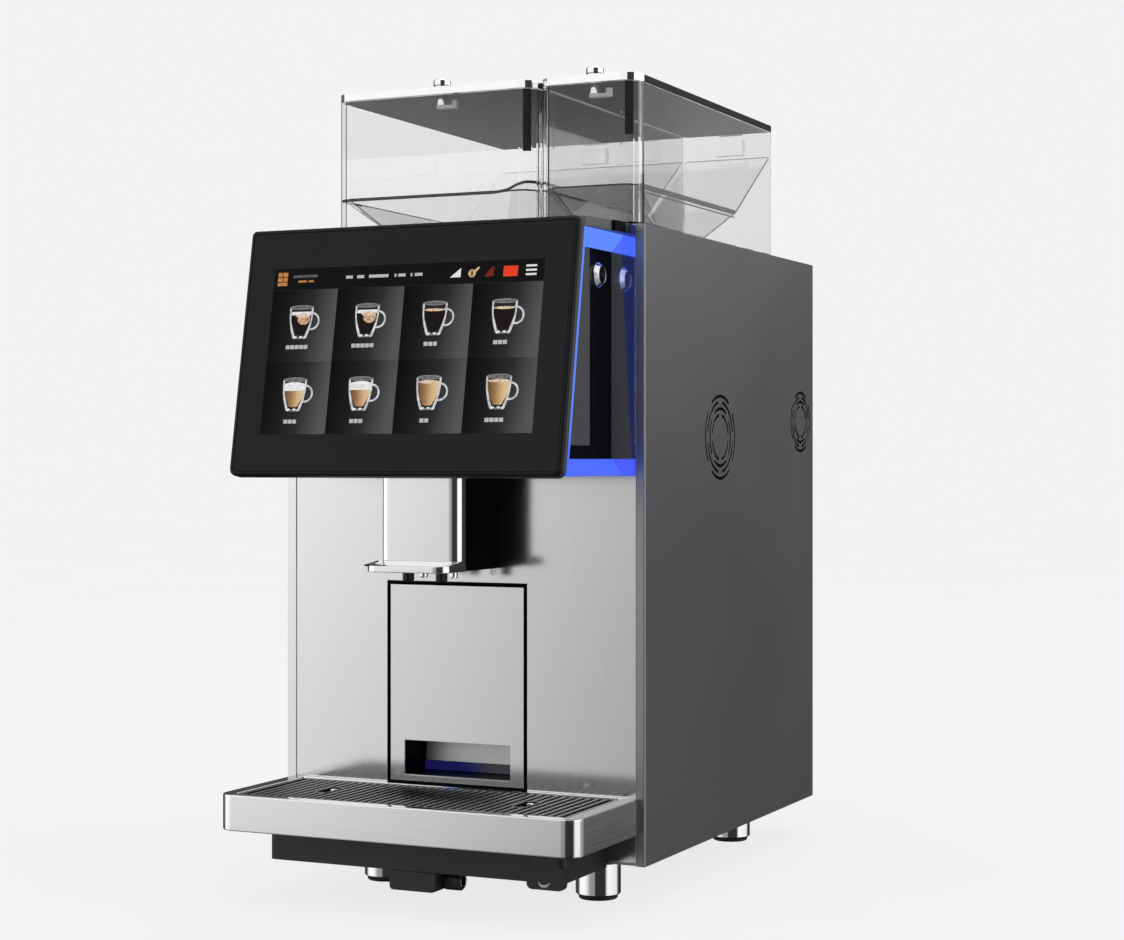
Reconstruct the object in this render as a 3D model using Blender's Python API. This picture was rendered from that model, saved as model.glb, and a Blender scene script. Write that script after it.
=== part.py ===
"""Table-top hot coffee machine with a touch display, twin hoppers, an adjustable spout and a drip tray.

Frame: metres, +X to the right of someone facing the machine, +Y to the back, +Z up.
The origin is at the bottom centre of the whole machine, on the surface it stands on.
"""

from math import cos, pi, radians, sin, tan

import bmesh
import bpy
from mathutils import Matrix, Vector

# Cabinet
WIDTH = 0.300
BODY_DEPTH = 0.380
FRONT_Y = -0.1357  # outer face of the front panel
BACK_Y = FRONT_Y + BODY_DEPTH
BODY_LOW = 0.031
BODY_HIGH = 0.4946
SHEET = 0.0012
GAP = 0.0003
CLEAR = 0.005  # how far a cutter reaches past what it cuts
STRIP_WIDTH = 0.0067  # front return of each side panel
INNER_X = WIDTH / 2 - STRIP_WIDTH - GAP
SKIN_X = WIDTH / 2 - SHEET - GAP
TRAY_TOP = 0.080

# Vents in the side panels: (distance behind the front, height, outer radius)
VENTS = ((0.153, 0.342, 0.0335), (0.347, 0.357, 0.0263))
VENT_RINGS = 4
VENT_SLOT = 0.0025
VENT_INNER = 0.54  # innermost ring's radius over the outermost's
VENT_ARC = radians(72)
VENT_STEPS = 8

# Rear and base. INLET is the mains inlet's (x0, x1, z0, z1)
INLET = (-0.114, -0.086, 0.070, 0.091)
PIN_X = (-0.107, -0.100, -0.093)
WATER_X, WATER_Z, WATER_R = 0.100, 0.080, 0.0135
LOUVRE_LOW, LOUVRE_PITCH, LOUVRE_COUNT = 0.30, 0.010, 9
LOUVRE_X, LOUVRE_HALF = 0.045, 0.002
STEM_BORE = 0.0045
PLATE_LOW, PLATE_THICK = BODY_LOW + 0.0002, 0.002
TOP_LOW, TOP_HIGH = BODY_HIGH - 0.0021, BODY_HIGH - 0.0002

# Display, a slab leaning back
TILT = radians(10)
DISPLAY_X = 0.1336
DISPLAY_LONG = 0.184
DISPLAY_THICK = 0.010
DISPLAY_CORNER, DISPLAY_CORNER_TOP = 0.0055, 0.003
DISPLAY_FOOT = Vector((0, FRONT_Y - 0.109, 0.3130))
GLASS_INSET = 0.0032
GLASS_THICK = 0.0012
SCREEN_W, SCREEN_H = 0.220, 0.124
SCREEN_LOW = 0.0300  # lower edge of the screen, along the slab

# Head behind the display
HEAD_X = 0.1237
HEAD_LOW, HEAD_HIGH = 0.3129, 0.4870
HEAD_WALL = 0.0025
LIGHT_BAND = 0.0120
LIGHT_LINE = 0.0024
BUTTON_Y, BUTTON_Z = FRONT_Y - 0.024, 0.4565
BUTTON_R, BUTTON_HOLE = 0.0086, 0.0072
NOTCH_Y = FRONT_Y - 0.0156  # where the cover steps in on each side

# Spout
SPOUT_X = -0.0012
SPOUT_HALF, LIP_HALF = 0.0330, 0.0335
SPOUT_FRONT = FRONT_Y - 0.063
SPOUT_SPLIT = FRONT_Y - 0.052
LIP_FRONT = FRONT_Y - 0.0855
LIP_LOW, LIP_HIGH, APRON_HIGH, SPOUT_HIGH = 0.2437, 0.2486, 0.2526, 0.400
ROD_DX, ROD_Y, ROD_R = 0.020, FRONT_Y - 0.026, 0.0025
ROD_LOW, ROD_HIGH, BORE_LOW = 0.3158, 0.4840, 0.306
COFFEE_NOZZLE = (0.0137, FRONT_Y - 0.0525)  # (sideways from the middle, y)
MILK_NOZZLE = (0.0125, FRONT_Y - 0.0310)

# Drip tray and the support under it
TRAY_X = 0.145
TRAY_FRONT = FRONT_Y - 0.107
TRAY_BACK = FRONT_Y - 0.0005
TRAY_LOW = 0.0535
TRAY_CORNER = 0.0125
GRATE_X = 0.1330
GRATE_FRONT, GRATE_BACK = FRONT_Y - 0.0985, FRONT_Y - 0.0065
GRATE_LOW, GRATE_HIGH = 0.0757, 0.0797
GRATE_PITCH, GRATE_SLOT, GRATE_COUNT = 0.0065, 0.0036, 40
FINGER_X, FINGER_Y = 0.081, FRONT_Y - 0.053
FINGER_W, FINGER_L = 0.010, 0.028
SUPPORT_X = 0.120
SUPPORT_FRONT = FRONT_Y - 0.074
SUPPORT_LOW = 0.029

# Grounds drawer
DRAWER_X0, DRAWER_X1 = -0.059, 0.053
DRAWER_MIDDLE = (DRAWER_X0 + DRAWER_X1) / 2
DRAWER_LOW, DRAWER_HIGH = 0.0820, 0.2301
SEAM = 0.0030
SLOT_X0, SLOT_X1, SLOT_LOW, SLOT_HIGH = -0.047, 0.042, 0.0862, 0.1126
SLOT_DEPTH = 0.0325
BIN_Y0, BIN_Y1, BIN_HIGH = FRONT_Y + 0.036, FRONT_Y + 0.205, 0.205

# Hoppers: (low x, high x)
HOPPERS = {"left": (-0.108, 0.062), "right": (0.064, 0.144)}
HOPPER_DEPTH = 0.290
HOPPER_LOW, HOPPER_HIGH = 0.4949, 0.5990
HOPPER_WALL = 0.0025
HOPPER_CORNER = 0.013
NECK_Y, NECK_R, NECK_BORE, NECK_LOW = FRONT_Y + 0.100, 0.0205, 0.0180, 0.480
LUG_Y = FRONT_Y + 0.288  # front of the hinge lugs behind each hopper
TRIM_DEPTH, TRIM_WALL = 0.0132, 0.0015
LID_LOW, LID_HIGH = 0.5993, 0.6050
LID_HINGE = Vector((0, FRONT_Y + 0.2945, 0.5995))
KNOB_Y, KNOB_R, KNOB_HIGH = FRONT_Y + 0.015, 0.0065, 0.6125
STEM_R, CAM_LOW, CAM_HIGH = 0.0041, 0.5905, 0.5931
FUNNEL_RIM, FUNNEL_BACK_RIM = 0.5235, 0.5770
FUNNEL_BEND, FUNNEL_THROAT_BACK = FRONT_Y + 0.208, FRONT_Y + 0.156
FUNNEL_WALL = 0.0015
FUNNEL_OUTLET = 0.74  # outlet's width over the hopper's

# Feet: (x, y)
FEET = {
    "front_right": (0.100, FRONT_Y + 0.030),
    "front_left": (-0.079, FRONT_Y + 0.029),
    "rear_right": (0.100, FRONT_Y + 0.308),
    "rear_left": (-0.079, FRONT_Y + 0.308),
}
FOOT_R = 0.0168

# Inside the cabinet
GRINDER_R = 0.045
GRINDER_LOW, GRINDER_HIGH = 0.370, 0.476
BREW_Y, BREW_R = FRONT_Y + 0.115, 0.032
BREW_LOW, BREW_HIGH = 0.245, 0.315
BOILER_X, BOILER_Y, BOILER_R = 0.1035, FRONT_Y + 0.230, 0.0415
BOILER_LOW, BOILER_HIGH = 0.045, 0.250
BOARD_X, BOARD_THICK = -0.1400, 0.0016
BOARD_Y, BOARD_LOW = (FRONT_Y + 0.070, FRONT_Y + 0.200), 0.210
CHIPS = ((0.015, 0.015, 0.020, 0.003), (0.060, 0.050, 0.028, 0.006), (0.100, 0.015, 0.016, 0.012))
FAN_BACK, FAN_HUB, FAN_BLADES = 0.1300, 0.011, 7
SHARP = radians(35)


# ---------------------------------------------------------------- materials


def principled(name, colour, roughness, metallic=0.0, alpha=1.0, emission=0.0):
    material = bpy.data.materials.new(name)
    material.use_nodes = True
    shader = material.node_tree.nodes["Principled BSDF"]
    shader.inputs["Base Color"].default_value = (*colour, 1)
    shader.inputs["Roughness"].default_value = roughness
    shader.inputs["Metallic"].default_value = metallic
    shader.inputs["Alpha"].default_value = alpha
    shader.inputs["Emission Color"].default_value = (*colour, 1)
    shader.inputs["Emission Strength"].default_value = emission
    material.diffuse_color = (*colour, alpha)
    return material


def make_materials():
    return {
        "graphite": principled("graphite", (0.11, 0.11, 0.12), 0.45, 0.3),
        "steel": principled("steel", (0.62, 0.62, 0.61), 0.28, 1),
        "chrome": principled("chrome", (0.85, 0.85, 0.86), 0.08, 1),
        "black": principled("black", (0.022, 0.022, 0.026), 0.45),
        "bezel": principled("bezel", (0.018, 0.018, 0.021), 0.15),
        "screen": principled("screen", (0.03, 0.03, 0.035), 0.2, 0, 1, 0.3),
        "light": principled("light", (0.08, 0.14, 1.0), 0.4, 0, 1, 2.0),
        "clear": principled("clear", (0.85, 0.88, 0.90), 0.05, 0, 0.25),
        "lid": principled("lid", (0.10, 0.10, 0.105), 0.4),
        "white": principled("white", (0.75, 0.75, 0.73), 0.5),
        "aluminium": principled("aluminium", (0.55, 0.56, 0.58), 0.4, 1),
        "brass": principled("brass", (0.65, 0.48, 0.22), 0.3, 1),
        "board": principled("board", (0.02, 0.16, 0.07), 0.5),
    }


# ---------------------------------------------------------------- shape helpers


def arc(cx, cy, radius, start, end, steps):
    return [
        (cx + radius * cos(a), cy + radius * sin(a))
        for a in (start + (end - start) * i / steps for i in range(steps + 1))
    ]


def rounded(x0, x1, y0, y1, r_front, r_back=0.0, steps=4):
    """Outline of a rectangle, counter-clockwise; the two corners at y0 have r_front, those at y1 r_back."""
    if r_front:
        points = arc(x0 + r_front, y0 + r_front, r_front, pi, 1.5 * pi, steps)
        points += arc(x1 - r_front, y0 + r_front, r_front, 1.5 * pi, 2 * pi, steps)
    else:
        points = [(x0, y0), (x1, y0)]
    if r_back:
        points += arc(x1 - r_back, y1 - r_back, r_back, 0, 0.5 * pi, steps)
        points += arc(x0 + r_back, y1 - r_back, r_back, 0.5 * pi, pi, steps)
    else:
        points += [(x1, y1), (x0, y1)]
    return points


def circle(cx, cy, radius, steps):
    return arc(cx, cy, radius, 0, 2 * pi, steps)[:-1]


def lift(point, height, axis):
    """A 2D outline point in space: X keeps (y, z), Y keeps (x, z), Z keeps (x, y)."""
    u, v = point
    return {"X": (height, u, v), "Y": (u, height, v), "Z": (u, v, height)}[axis]


def loft(sections):
    """A closed body through outlines that have the same number of points."""
    bm = bmesh.new()
    rings = [[bm.verts.new(p) for p in section] for section in sections]
    count = len(rings[0])
    for low, high in zip(rings, rings[1:]):
        for i in range(count):
            j = (i + 1) % count
            bm.faces.new((low[i], low[j], high[j], high[i]))
    bm.faces.new(rings[0][::-1])
    bm.faces.new(rings[-1])
    bmesh.ops.recalc_face_normals(bm, faces=bm.faces)
    return bm


def prism(outline, axis, low, high):
    return loft([[lift(p, h, axis) for p in outline] for h in (low, high)])


def block(x0, x1, y0, y1, z0, z1):
    return prism([(x0, y0), (x1, y0), (x1, y1), (x0, y1)], "Z", z0, z1)


def turned(profile, axis, centre, steps=20, ring=False):
    """A turned body. profile lists (radius, height along axis); ring joins its last point to its first."""
    bm = bmesh.new()
    rings = []
    for radius, height in profile:
        points = circle(*centre, radius, steps) if radius > 0 else [centre]
        rings.append([bm.verts.new(lift(p, height, axis)) for p in points])
    pairs = list(zip(rings, rings[1:]))
    if ring:
        pairs.append((rings[-1], rings[0]))
    for low, high in pairs:
        for i in range(steps):
            j = (i + 1) % steps
            corners = [low[i % len(low)], low[j % len(low)], high[j % len(high)], high[i % len(high)]]
            bm.faces.new(list(dict.fromkeys(corners)))
    bmesh.ops.recalc_face_normals(bm, faces=bm.faces)
    return bm


def merged(*pieces):
    """One bmesh that holds several closed bodies, for a cutter."""
    whole = bmesh.new()
    for piece in pieces:
        mesh = bpy.data.meshes.new("piece")
        piece.to_mesh(mesh)
        piece.free()
        whole.from_mesh(mesh)
        bpy.data.meshes.remove(mesh)
    return whole


def make_object(name, bm, material, origin=(0, 0, 0)):
    bmesh.ops.translate(bm, verts=bm.verts, vec=-Vector(origin))
    mesh = bpy.data.meshes.new(name)
    bm.to_mesh(mesh)
    bm.free()
    if material:
        mesh.materials.append(material)
    mesh.shade_smooth()
    mesh.set_sharp_from_angle(angle=SHARP)
    obj = bpy.data.objects.new(name, mesh)
    obj.location = origin
    bpy.context.collection.objects.link(obj)
    return obj


def cutter_object(name, bm):
    """A hidden helper that only a Boolean uses."""
    helper = make_object(name, bm, None)
    helper.hide_render = True
    helper.hide_set(True)
    helper.display_type = "WIRE"
    return helper


def boolean(obj, bm, operation="DIFFERENCE"):
    """Cuts bm from obj, or joins it, by a hidden helper object."""
    helper = cutter_object(f"{obj.name}_{operation.lower()}", bm)
    helper.parent = obj
    helper.matrix_parent_inverse = Matrix.Translation(obj.location).inverted()
    modifier = obj.modifiers.new(operation.title(), "BOOLEAN")
    modifier.operation = operation
    modifier.object = helper
    return obj


# ---------------------------------------------------------------- cabinet


def vent_slots(y, z, radius):
    """Cutters for one vent: rings of arc slots, each ring turned by 45 degrees from the next."""
    slots = []
    for ring in range(VENT_RINGS):
        share = 1 - (1 - VENT_INNER) * ring / (VENT_RINGS - 1)
        middle = (radius - VENT_SLOT / 2) * share
        for quarter in range(4):
            centre = quarter * pi / 2 + (pi / 4 if ring % 2 else 0)
            start, end = centre - VENT_ARC / 2, centre + VENT_ARC / 2
            outer = arc(y, z, middle + VENT_SLOT / 2, start, end, VENT_STEPS)
            inner = arc(y, z, middle - VENT_SLOT / 2, end, start, VENT_STEPS)
            slots.append(prism(outer + inner, "X", WIDTH / 2 - CLEAR, WIDTH / 2 + CLEAR))
    return slots


def side_panel(name, side, m):
    x_out, x_in, x_strip = WIDTH / 2, WIDTH / 2 - SHEET, WIDTH / 2 - STRIP_WIDTH
    fold = arc(x_out - SHEET, FRONT_Y + SHEET, SHEET, 1.5 * pi, 2 * pi, 3)
    outline = [(x_strip, FRONT_Y), *fold, (x_out, BACK_Y), (x_in, BACK_Y)]
    outline += [(x_in, FRONT_Y + SHEET), (x_strip, FRONT_Y + SHEET)]
    bm = prism(outline, "Z", BODY_LOW, BODY_HIGH)
    cutters = [slot for y, z, radius in VENTS for slot in vent_slots(FRONT_Y + y, z, radius)]
    cutter = merged(*cutters)
    if side < 0:
        for shape in (bm, cutter):
            bmesh.ops.scale(shape, verts=shape.verts, vec=(-1, 1, 1))
            bmesh.ops.reverse_faces(shape, faces=shape.faces)
    return boolean(make_object(name, bm, m["graphite"]), cutter)


def base_plate(m):
    low, high = PLATE_LOW, PLATE_LOW + PLATE_THICK
    bm = block(-SKIN_X, SKIN_X, FRONT_Y + SHEET + GAP, BACK_Y - SHEET - GAP, low, high)
    obj = make_object("base_plate", bm, m["aluminium"])
    holes = [prism(circle(x, y, STEM_BORE, 12), "Z", low - CLEAR, high + CLEAR) for x, y in FEET.values()]
    return boolean(obj, merged(*holes))


def top_plate(m):
    bm = block(-SKIN_X, SKIN_X, FRONT_Y + SHEET + GAP, BACK_Y - SHEET - GAP, TOP_LOW, TOP_HIGH)
    obj = make_object("top_plate", bm, m["graphite"])
    holes = [
        prism(circle((x0 + x1) / 2, NECK_Y, NECK_R + 0.001, 24), "Z", TOP_LOW - CLEAR, TOP_HIGH + CLEAR)
        for x0, x1 in HOPPERS.values()
    ]
    return boolean(obj, merged(*holes))


def front_panel(m):
    x0, x1 = DRAWER_X0 - SEAM, DRAWER_X1 + SEAM
    top = DRAWER_HIGH + SEAM
    outline = [(-INNER_X, TRAY_TOP), (x0, TRAY_TOP), (x0, top), (x1, top), (x1, TRAY_TOP)]
    outline += [(INNER_X, TRAY_TOP), (INNER_X, BODY_HIGH), (-INNER_X, BODY_HIGH)]
    return make_object("front_panel", prism(outline, "Y", FRONT_Y, FRONT_Y + SHEET), m["steel"])


def lower_front_plate(m):
    bm = block(-INNER_X, INNER_X, FRONT_Y, FRONT_Y + SHEET, BODY_LOW + 0.0025, TRAY_TOP - GAP)
    return make_object("lower_front_plate", bm, m["steel"])


def rear_panel(m):
    bm = block(-SKIN_X, SKIN_X, BACK_Y - SHEET, BACK_Y, BODY_LOW + 0.0025, BODY_HIGH)
    obj = make_object("rear_panel", bm, m["graphite"])
    y0, y1, half = BACK_Y - 2 * CLEAR, BACK_Y + 2 * CLEAR, LOUVRE_HALF
    corner = half - 0.0001
    slots = [
        prism(rounded(-LOUVRE_X, LOUVRE_X, z - half, z + half, corner, corner, 2), "Y", y0, y1)
        for z in (LOUVRE_LOW + LOUVRE_PITCH * i for i in range(LOUVRE_COUNT))
    ]
    x0, x1, z0, z1 = INLET
    inlet = block(x0, x1, y0, y1, z0, z1)
    water = prism(circle(WATER_X, WATER_Z, WATER_R, 20), "Y", y0, y1)
    return boolean(obj, merged(inlet, water, *slots))


def power_inlet(m):
    """A mains socket: a box with an open cavity and three flat pins standing in it."""
    x0, x1, z0, z1 = INLET
    shell, wall, back = 0.0005, 0.0025, BACK_Y - 0.0002
    bm = block(x0 + shell, x1 - shell, BACK_Y - 0.030, back, z0 + shell, z1 - shell)
    obj = make_object("power_inlet", bm, m["black"])
    boolean(obj, block(x0 + wall, x1 - wall, BACK_Y - 0.016, BACK_Y + CLEAR, z0 + wall, z1 - wall))
    y0, y1 = BACK_Y - 0.020, BACK_Y - 0.004
    pins = [block(x - 0.002, x + 0.002, y0, y1, z0 + 0.008, z1 - 0.007) for x in PIN_X]
    return boolean(obj, merged(*pins), "UNION")


def water_inlet(m):
    radius, bore, face = WATER_R - 0.0005, 0.0090, BACK_Y - 0.0002
    profile = [(0.0, BACK_Y - 0.030), (radius, BACK_Y - 0.030), (radius, face), (bore, face)]
    profile += [(bore, BACK_Y - 0.012), (0.0, BACK_Y - 0.012)]
    return make_object("water_inlet", turned(profile, "Y", (WATER_X, WATER_Z), 20), m["brass"])


def foot(name, x, y, m):
    profile = [(0, 0), (FOOT_R - 0.0015, 0), (FOOT_R, 0.0015), (FOOT_R, 0.0290)]
    profile += [(FOOT_R - 0.0008, 0.0306), (0.0040, 0.0306), (0.0040, 0.0440), (0, 0.0440)]
    return make_object(name, turned(profile, "Z", (x, y), 24), m["chrome"], (x, y, 0))


# ---------------------------------------------------------------- head and display


def display_back_y(z, inset=0.0):
    """Y of the plane that is inset behind the display's back, at height z."""
    return DISPLAY_FOOT.y + (z - DISPLAY_FOOT.z) * tan(TILT) + (DISPLAY_THICK + inset) / cos(TILT)


def slab_outline(inset, depth):
    """The display's outline drawn in by inset, at depth behind its front, in the slab's own frame."""
    low, high = max(DISPLAY_CORNER - inset, 0.001), max(DISPLAY_CORNER_TOP - inset, 0.0005)
    x = DISPLAY_X - inset
    points = rounded(-x, x, inset, DISPLAY_LONG - inset, low, high, 3)
    return [(x, depth, s) for x, s in points]


def lean(obj):
    """Puts an object made in the slab's own frame on the leaning display."""
    obj.location = DISPLAY_FOOT
    obj.rotation_euler.x = -TILT
    return obj


def display_bezel(m):
    stages = [(0.0022, 0), (0.0007, 0.0006), (0, 0.0022)]
    stages += [(0, DISPLAY_THICK - 0.0015), (0.0015, DISPLAY_THICK)]
    bm = loft([slab_outline(inset, depth) for inset, depth in stages])
    obj = make_object("display_bezel", bm, m["bezel"])
    recess = [(x, s) for x, _, s in slab_outline(GLASS_INSET - GAP, 0)]
    boolean(obj, prism(recess, "Y", -CLEAR, GLASS_THICK + GAP))
    x, low, high = SCREEN_W / 2 + 0.001, SCREEN_LOW - 0.001, SCREEN_LOW + SCREEN_H + 0.001
    return lean(boolean(obj, block(-x, x, -CLEAR, CLEAR, low, high)))


def display_glass(m):
    outline = [(x, s) for x, _, s in slab_outline(GLASS_INSET, 0)]
    obj = make_object("display_glass", prism(outline, "Y", 0, GLASS_THICK), m["bezel"])
    window = block(-SCREEN_W / 2, SCREEN_W / 2, -CLEAR, CLEAR, SCREEN_LOW, SCREEN_LOW + SCREEN_H)
    return lean(boolean(obj, window))


def display_screen(m):
    x, low, high = SCREEN_W / 2 - GAP, SCREEN_LOW + GAP, SCREEN_LOW + SCREEN_H - GAP
    bm = block(-x, x, 0.0002, 0.0045, low, high)
    return lean(make_object("display_screen", bm, m["screen"]))


def head_outline(inset, back):
    low, high = HEAD_LOW + inset, HEAD_HIGH - inset
    front_low, front_high = (display_back_y(z, GAP + inset) for z in (low, high))
    return [(front_low, low), (back, low), (back, high), (front_high, high)]


def head_housing(m):
    bm = prism(head_outline(0, FRONT_Y - GAP), "X", -HEAD_X, HEAD_X)
    obj = make_object("head_housing", bm, m["black"])
    inner, behind = HEAD_X - HEAD_WALL, FRONT_Y + CLEAR
    boolean(obj, prism(head_outline(HEAD_WALL, behind), "X", -inner, inner))
    x0, x1 = SPOUT_X - SPOUT_HALF - 0.001, SPOUT_X + SPOUT_HALF + 0.001
    spout_hole = block(x0, x1, SPOUT_FRONT - 0.001, behind, HEAD_LOW - CLEAR, HEAD_LOW + HEAD_WALL + CLEAR)
    button_hole = prism(circle(BUTTON_Y, BUTTON_Z, BUTTON_HOLE, 24), "X", HEAD_X - CLEAR, HEAD_X + CLEAR)
    return boolean(obj, merged(spout_hole, button_hole))


def head_cover(m):
    low, high = HEAD_HIGH + GAP, BODY_HIGH
    wide, narrow, back = DISPLAY_X + 0.0054, DISPLAY_X - 0.006, FRONT_Y - GAP
    front_low, front_high = display_back_y(low, GAP), display_back_y(high, GAP)

    def section(front, z):
        half = [(DISPLAY_X - 0.0006, front), (wide, NOTCH_Y), (narrow, NOTCH_Y), (narrow, back)]
        return [(x, y, z) for x, y in half] + [(-x, y, z) for x, y in reversed(half)]

    bm = loft([section(front_low, low), section(front_high, high)])
    return make_object("head_cover", bm, m["graphite"])


def light_guide(name, side, m):
    """A C-shaped light guide beside the head: bevelled bars above and below, a line along the display."""
    back = FRONT_Y - 0.0004

    def section(x, band):
        low, high = HEAD_LOW + 0.0001, HEAD_HIGH - 0.0001
        inner_low, inner_high = low + band, high - band
        points = [(back, low), (back, inner_low), (display_back_y(inner_low, GAP + LIGHT_LINE), inner_low)]
        points += [(display_back_y(inner_high, GAP + LIGHT_LINE), inner_high), (back, inner_high)]
        points += [(back, high), (display_back_y(high, GAP), high), (display_back_y(low, GAP), low)]
        return [(side * x, y, z) for y, z in points]

    sections = [section(HEAD_X + GAP, LIGHT_BAND), section(DISPLAY_X - GAP, 0.0012)]
    return make_object(name, loft(sections), m["light"])


def button_bezel(m):
    profile = [(0.0070, HEAD_X + GAP), (BUTTON_R, HEAD_X + GAP), (BUTTON_R, HEAD_X + 0.0036)]
    profile += [(BUTTON_R - 0.0009, HEAD_X + 0.0045), (0.0066, HEAD_X + 0.0045), (0.0063, HEAD_X + 0.0040)]
    profile += [(0.0063, HEAD_X - 0.0060), (0.0070, HEAD_X - 0.0060)]
    return make_object("button_bezel", turned(profile, "X", (BUTTON_Y, BUTTON_Z), 24, True), m["chrome"])


def power_button(m):
    profile = [(0, HEAD_X - 0.0050), (0.0059, HEAD_X - 0.0050), (0.0059, HEAD_X + 0.0036)]
    profile += [(0.0054, HEAD_X + 0.0040), (0, HEAD_X + 0.0040)]
    origin = (HEAD_X + 0.0040, BUTTON_Y, BUTTON_Z)
    return make_object("power_button", turned(profile, "X", (BUTTON_Y, BUTTON_Z), 24), m["black"], origin)


# ---------------------------------------------------------------- spout


def spout_outline(front, half, corner, z):
    points = rounded(SPOUT_X - half, SPOUT_X + half, front, SPOUT_SPLIT, corner, 0, 4)
    return [(x, y, z) for x, y in points]


def spout_cover(m):
    lip, shaft = (LIP_FRONT, LIP_HALF, 0.010), (SPOUT_FRONT, SPOUT_HALF, 0.008)
    sections = [
        spout_outline(*lip, LIP_LOW),
        spout_outline(*lip, LIP_HIGH - 0.0006),
        spout_outline(lip[0] + 0.0012, lip[1] - 0.0006, lip[2], LIP_HIGH),
        spout_outline(shaft[0] - 0.006, shaft[1], 0.009, LIP_HIGH + 0.0012),
        spout_outline(*shaft, APRON_HIGH),
        spout_outline(*shaft, SPOUT_HIGH),
    ]
    obj = make_object("spout_cover", loft(sections), m["steel"])
    half, front = SPOUT_HALF - 0.0020, SPOUT_FRONT + 0.0020
    points = rounded(SPOUT_X - half, SPOUT_X + half, front, SPOUT_SPLIT + CLEAR, 0.006, 0, 4)
    return boolean(obj, prism(points, "Z", LIP_HIGH, SPOUT_HIGH + CLEAR))


def spout_body(m):
    half, front = SPOUT_HALF - 0.0004, SPOUT_SPLIT + GAP
    bm = block(SPOUT_X - half, SPOUT_X + half, front, FRONT_Y - 0.001, LIP_LOW + 0.0003, SPOUT_HIGH)
    obj = make_object("spout_body", bm, m["black"])
    top = SPOUT_HIGH + CLEAR
    rod_x = (SPOUT_X - ROD_DX, SPOUT_X + ROD_DX)
    bores = [prism(circle(x, ROD_Y, ROD_R + GAP, 12), "Z", BORE_LOW, top) for x in rod_x]
    shaft = block(SPOUT_X - 0.012, SPOUT_X + 0.012, front + 0.004, FRONT_Y - 0.006, BORE_LOW - 0.006, top)
    return boolean(obj, merged(shaft, *bores))


def guide_rods(m):
    """Two rods that the spout slides on, hanging from one bridge at the top of the head."""
    half, depth, thick = ROD_DX + 0.006, 0.005, 0.004
    bridge = block(SPOUT_X - half, SPOUT_X + half, ROD_Y - depth, ROD_Y + depth, ROD_HIGH - thick, ROD_HIGH)
    obj = make_object("guide_rods", bridge, m["chrome"])
    top = ROD_HIGH - thick / 2
    profile = [(0, ROD_LOW), (ROD_R - 0.0005, ROD_LOW), (ROD_R, ROD_LOW + 0.0005), (ROD_R, top), (0, top)]
    rods = [turned(profile, "Z", (SPOUT_X + dx, ROD_Y), 12) for dx in (-ROD_DX, ROD_DX)]
    return boolean(obj, merged(*rods), "UNION")


def nozzle(name, dx, y, radius, low, high, material):
    bore = radius * 0.55
    profile = [(0, low + 0.004), (bore, low + 0.004), (bore, low), (radius - 0.0008, low)]
    profile += [(radius, low + 0.001), (radius, high), (0, high)]
    x = SPOUT_X + dx
    return make_object(name, turned(profile, "Z", (x, y), 14), material)


# ---------------------------------------------------------------- drip tray


def drip_tray(m):
    stages = [(0.0012, TRAY_LOW), (0, TRAY_LOW + 0.0012), (0, TRAY_TOP - 0.0012), (0.0009, TRAY_TOP)]
    sections = [
        [
            (x, y, z)
            for x, y in rounded(-TRAY_X + d, TRAY_X - d, TRAY_FRONT + d, TRAY_BACK, TRAY_CORNER - d, 0, 6)
        ]
        for d, z in stages
    ]
    obj = make_object("drip_tray", loft(sections), m["steel"])
    x, y0, y1 = GRATE_X + 0.0005, GRATE_FRONT - 0.0005, GRATE_BACK + 0.0005
    ledge = 0.005
    top = TRAY_TOP + CLEAR
    boolean(obj, prism(rounded(-x, x, y0, y1, 0.003, 0.003, 2), "Z", GRATE_LOW - 0.0002, top))
    basin = rounded(-x + ledge, x - ledge, y0 + ledge, y1 - ledge, 0.006, 0.006, 3)
    return boolean(obj, prism(basin, "Z", TRAY_LOW + 0.004, top))


def drip_grate(m):
    outline = rounded(-GRATE_X, GRATE_X, GRATE_FRONT, GRATE_BACK, 0.0025, 0.0025, 2)
    origin = (0, (GRATE_FRONT + GRATE_BACK) / 2, GRATE_LOW)
    obj = make_object("drip_grate", prism(outline, "Z", GRATE_LOW, GRATE_HIGH), m["black"], origin)
    low, high = GRATE_LOW - CLEAR, GRATE_HIGH + CLEAR
    first, half = -GRATE_PITCH * (GRATE_COUNT - 1) / 2, GRATE_SLOT / 2
    slots = []
    for i in range(GRATE_COUNT):
        x = first + GRATE_PITCH * i
        slots.append(block(x - half, x + half, GRATE_FRONT + 0.003, GRATE_BACK - 0.003, low, high))
    boolean(obj, merged(*slots))
    y0, y1, corner = FINGER_Y - FINGER_L / 2, FINGER_Y + FINGER_L / 2, FINGER_W * 0.45
    fingers = [
        prism(rounded(x - FINGER_W / 2, x + FINGER_W / 2, y0, y1, corner, corner, 3), "Z", low, high)
        for x in (-FINGER_X, FINGER_X)
    ]
    return boolean(obj, merged(*fingers))


def tray_support(m):
    low, high, back = SUPPORT_LOW, TRAY_LOW - GAP, FRONT_Y - GAP
    bm = prism(rounded(-SUPPORT_X, SUPPORT_X, SUPPORT_FRONT, back, 0.004, 0, 3), "Z", low, high)
    obj = make_object("tray_support", bm, m["black"])
    tab, wall = 0.006, 0.003
    outline = rounded(SUPPORT_X - 0.029, SUPPORT_X, low - 0.005, low + 0.011, 0.004, 0, 3)
    boolean(obj, prism(outline, "Y", SUPPORT_FRONT, SUPPORT_FRONT + tab), "UNION")
    x, front = SUPPORT_X - wall, SUPPORT_FRONT + tab + 0.0005
    return boolean(obj, block(-x, x, front, back - wall, low - 2 * CLEAR, high - wall))


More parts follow.
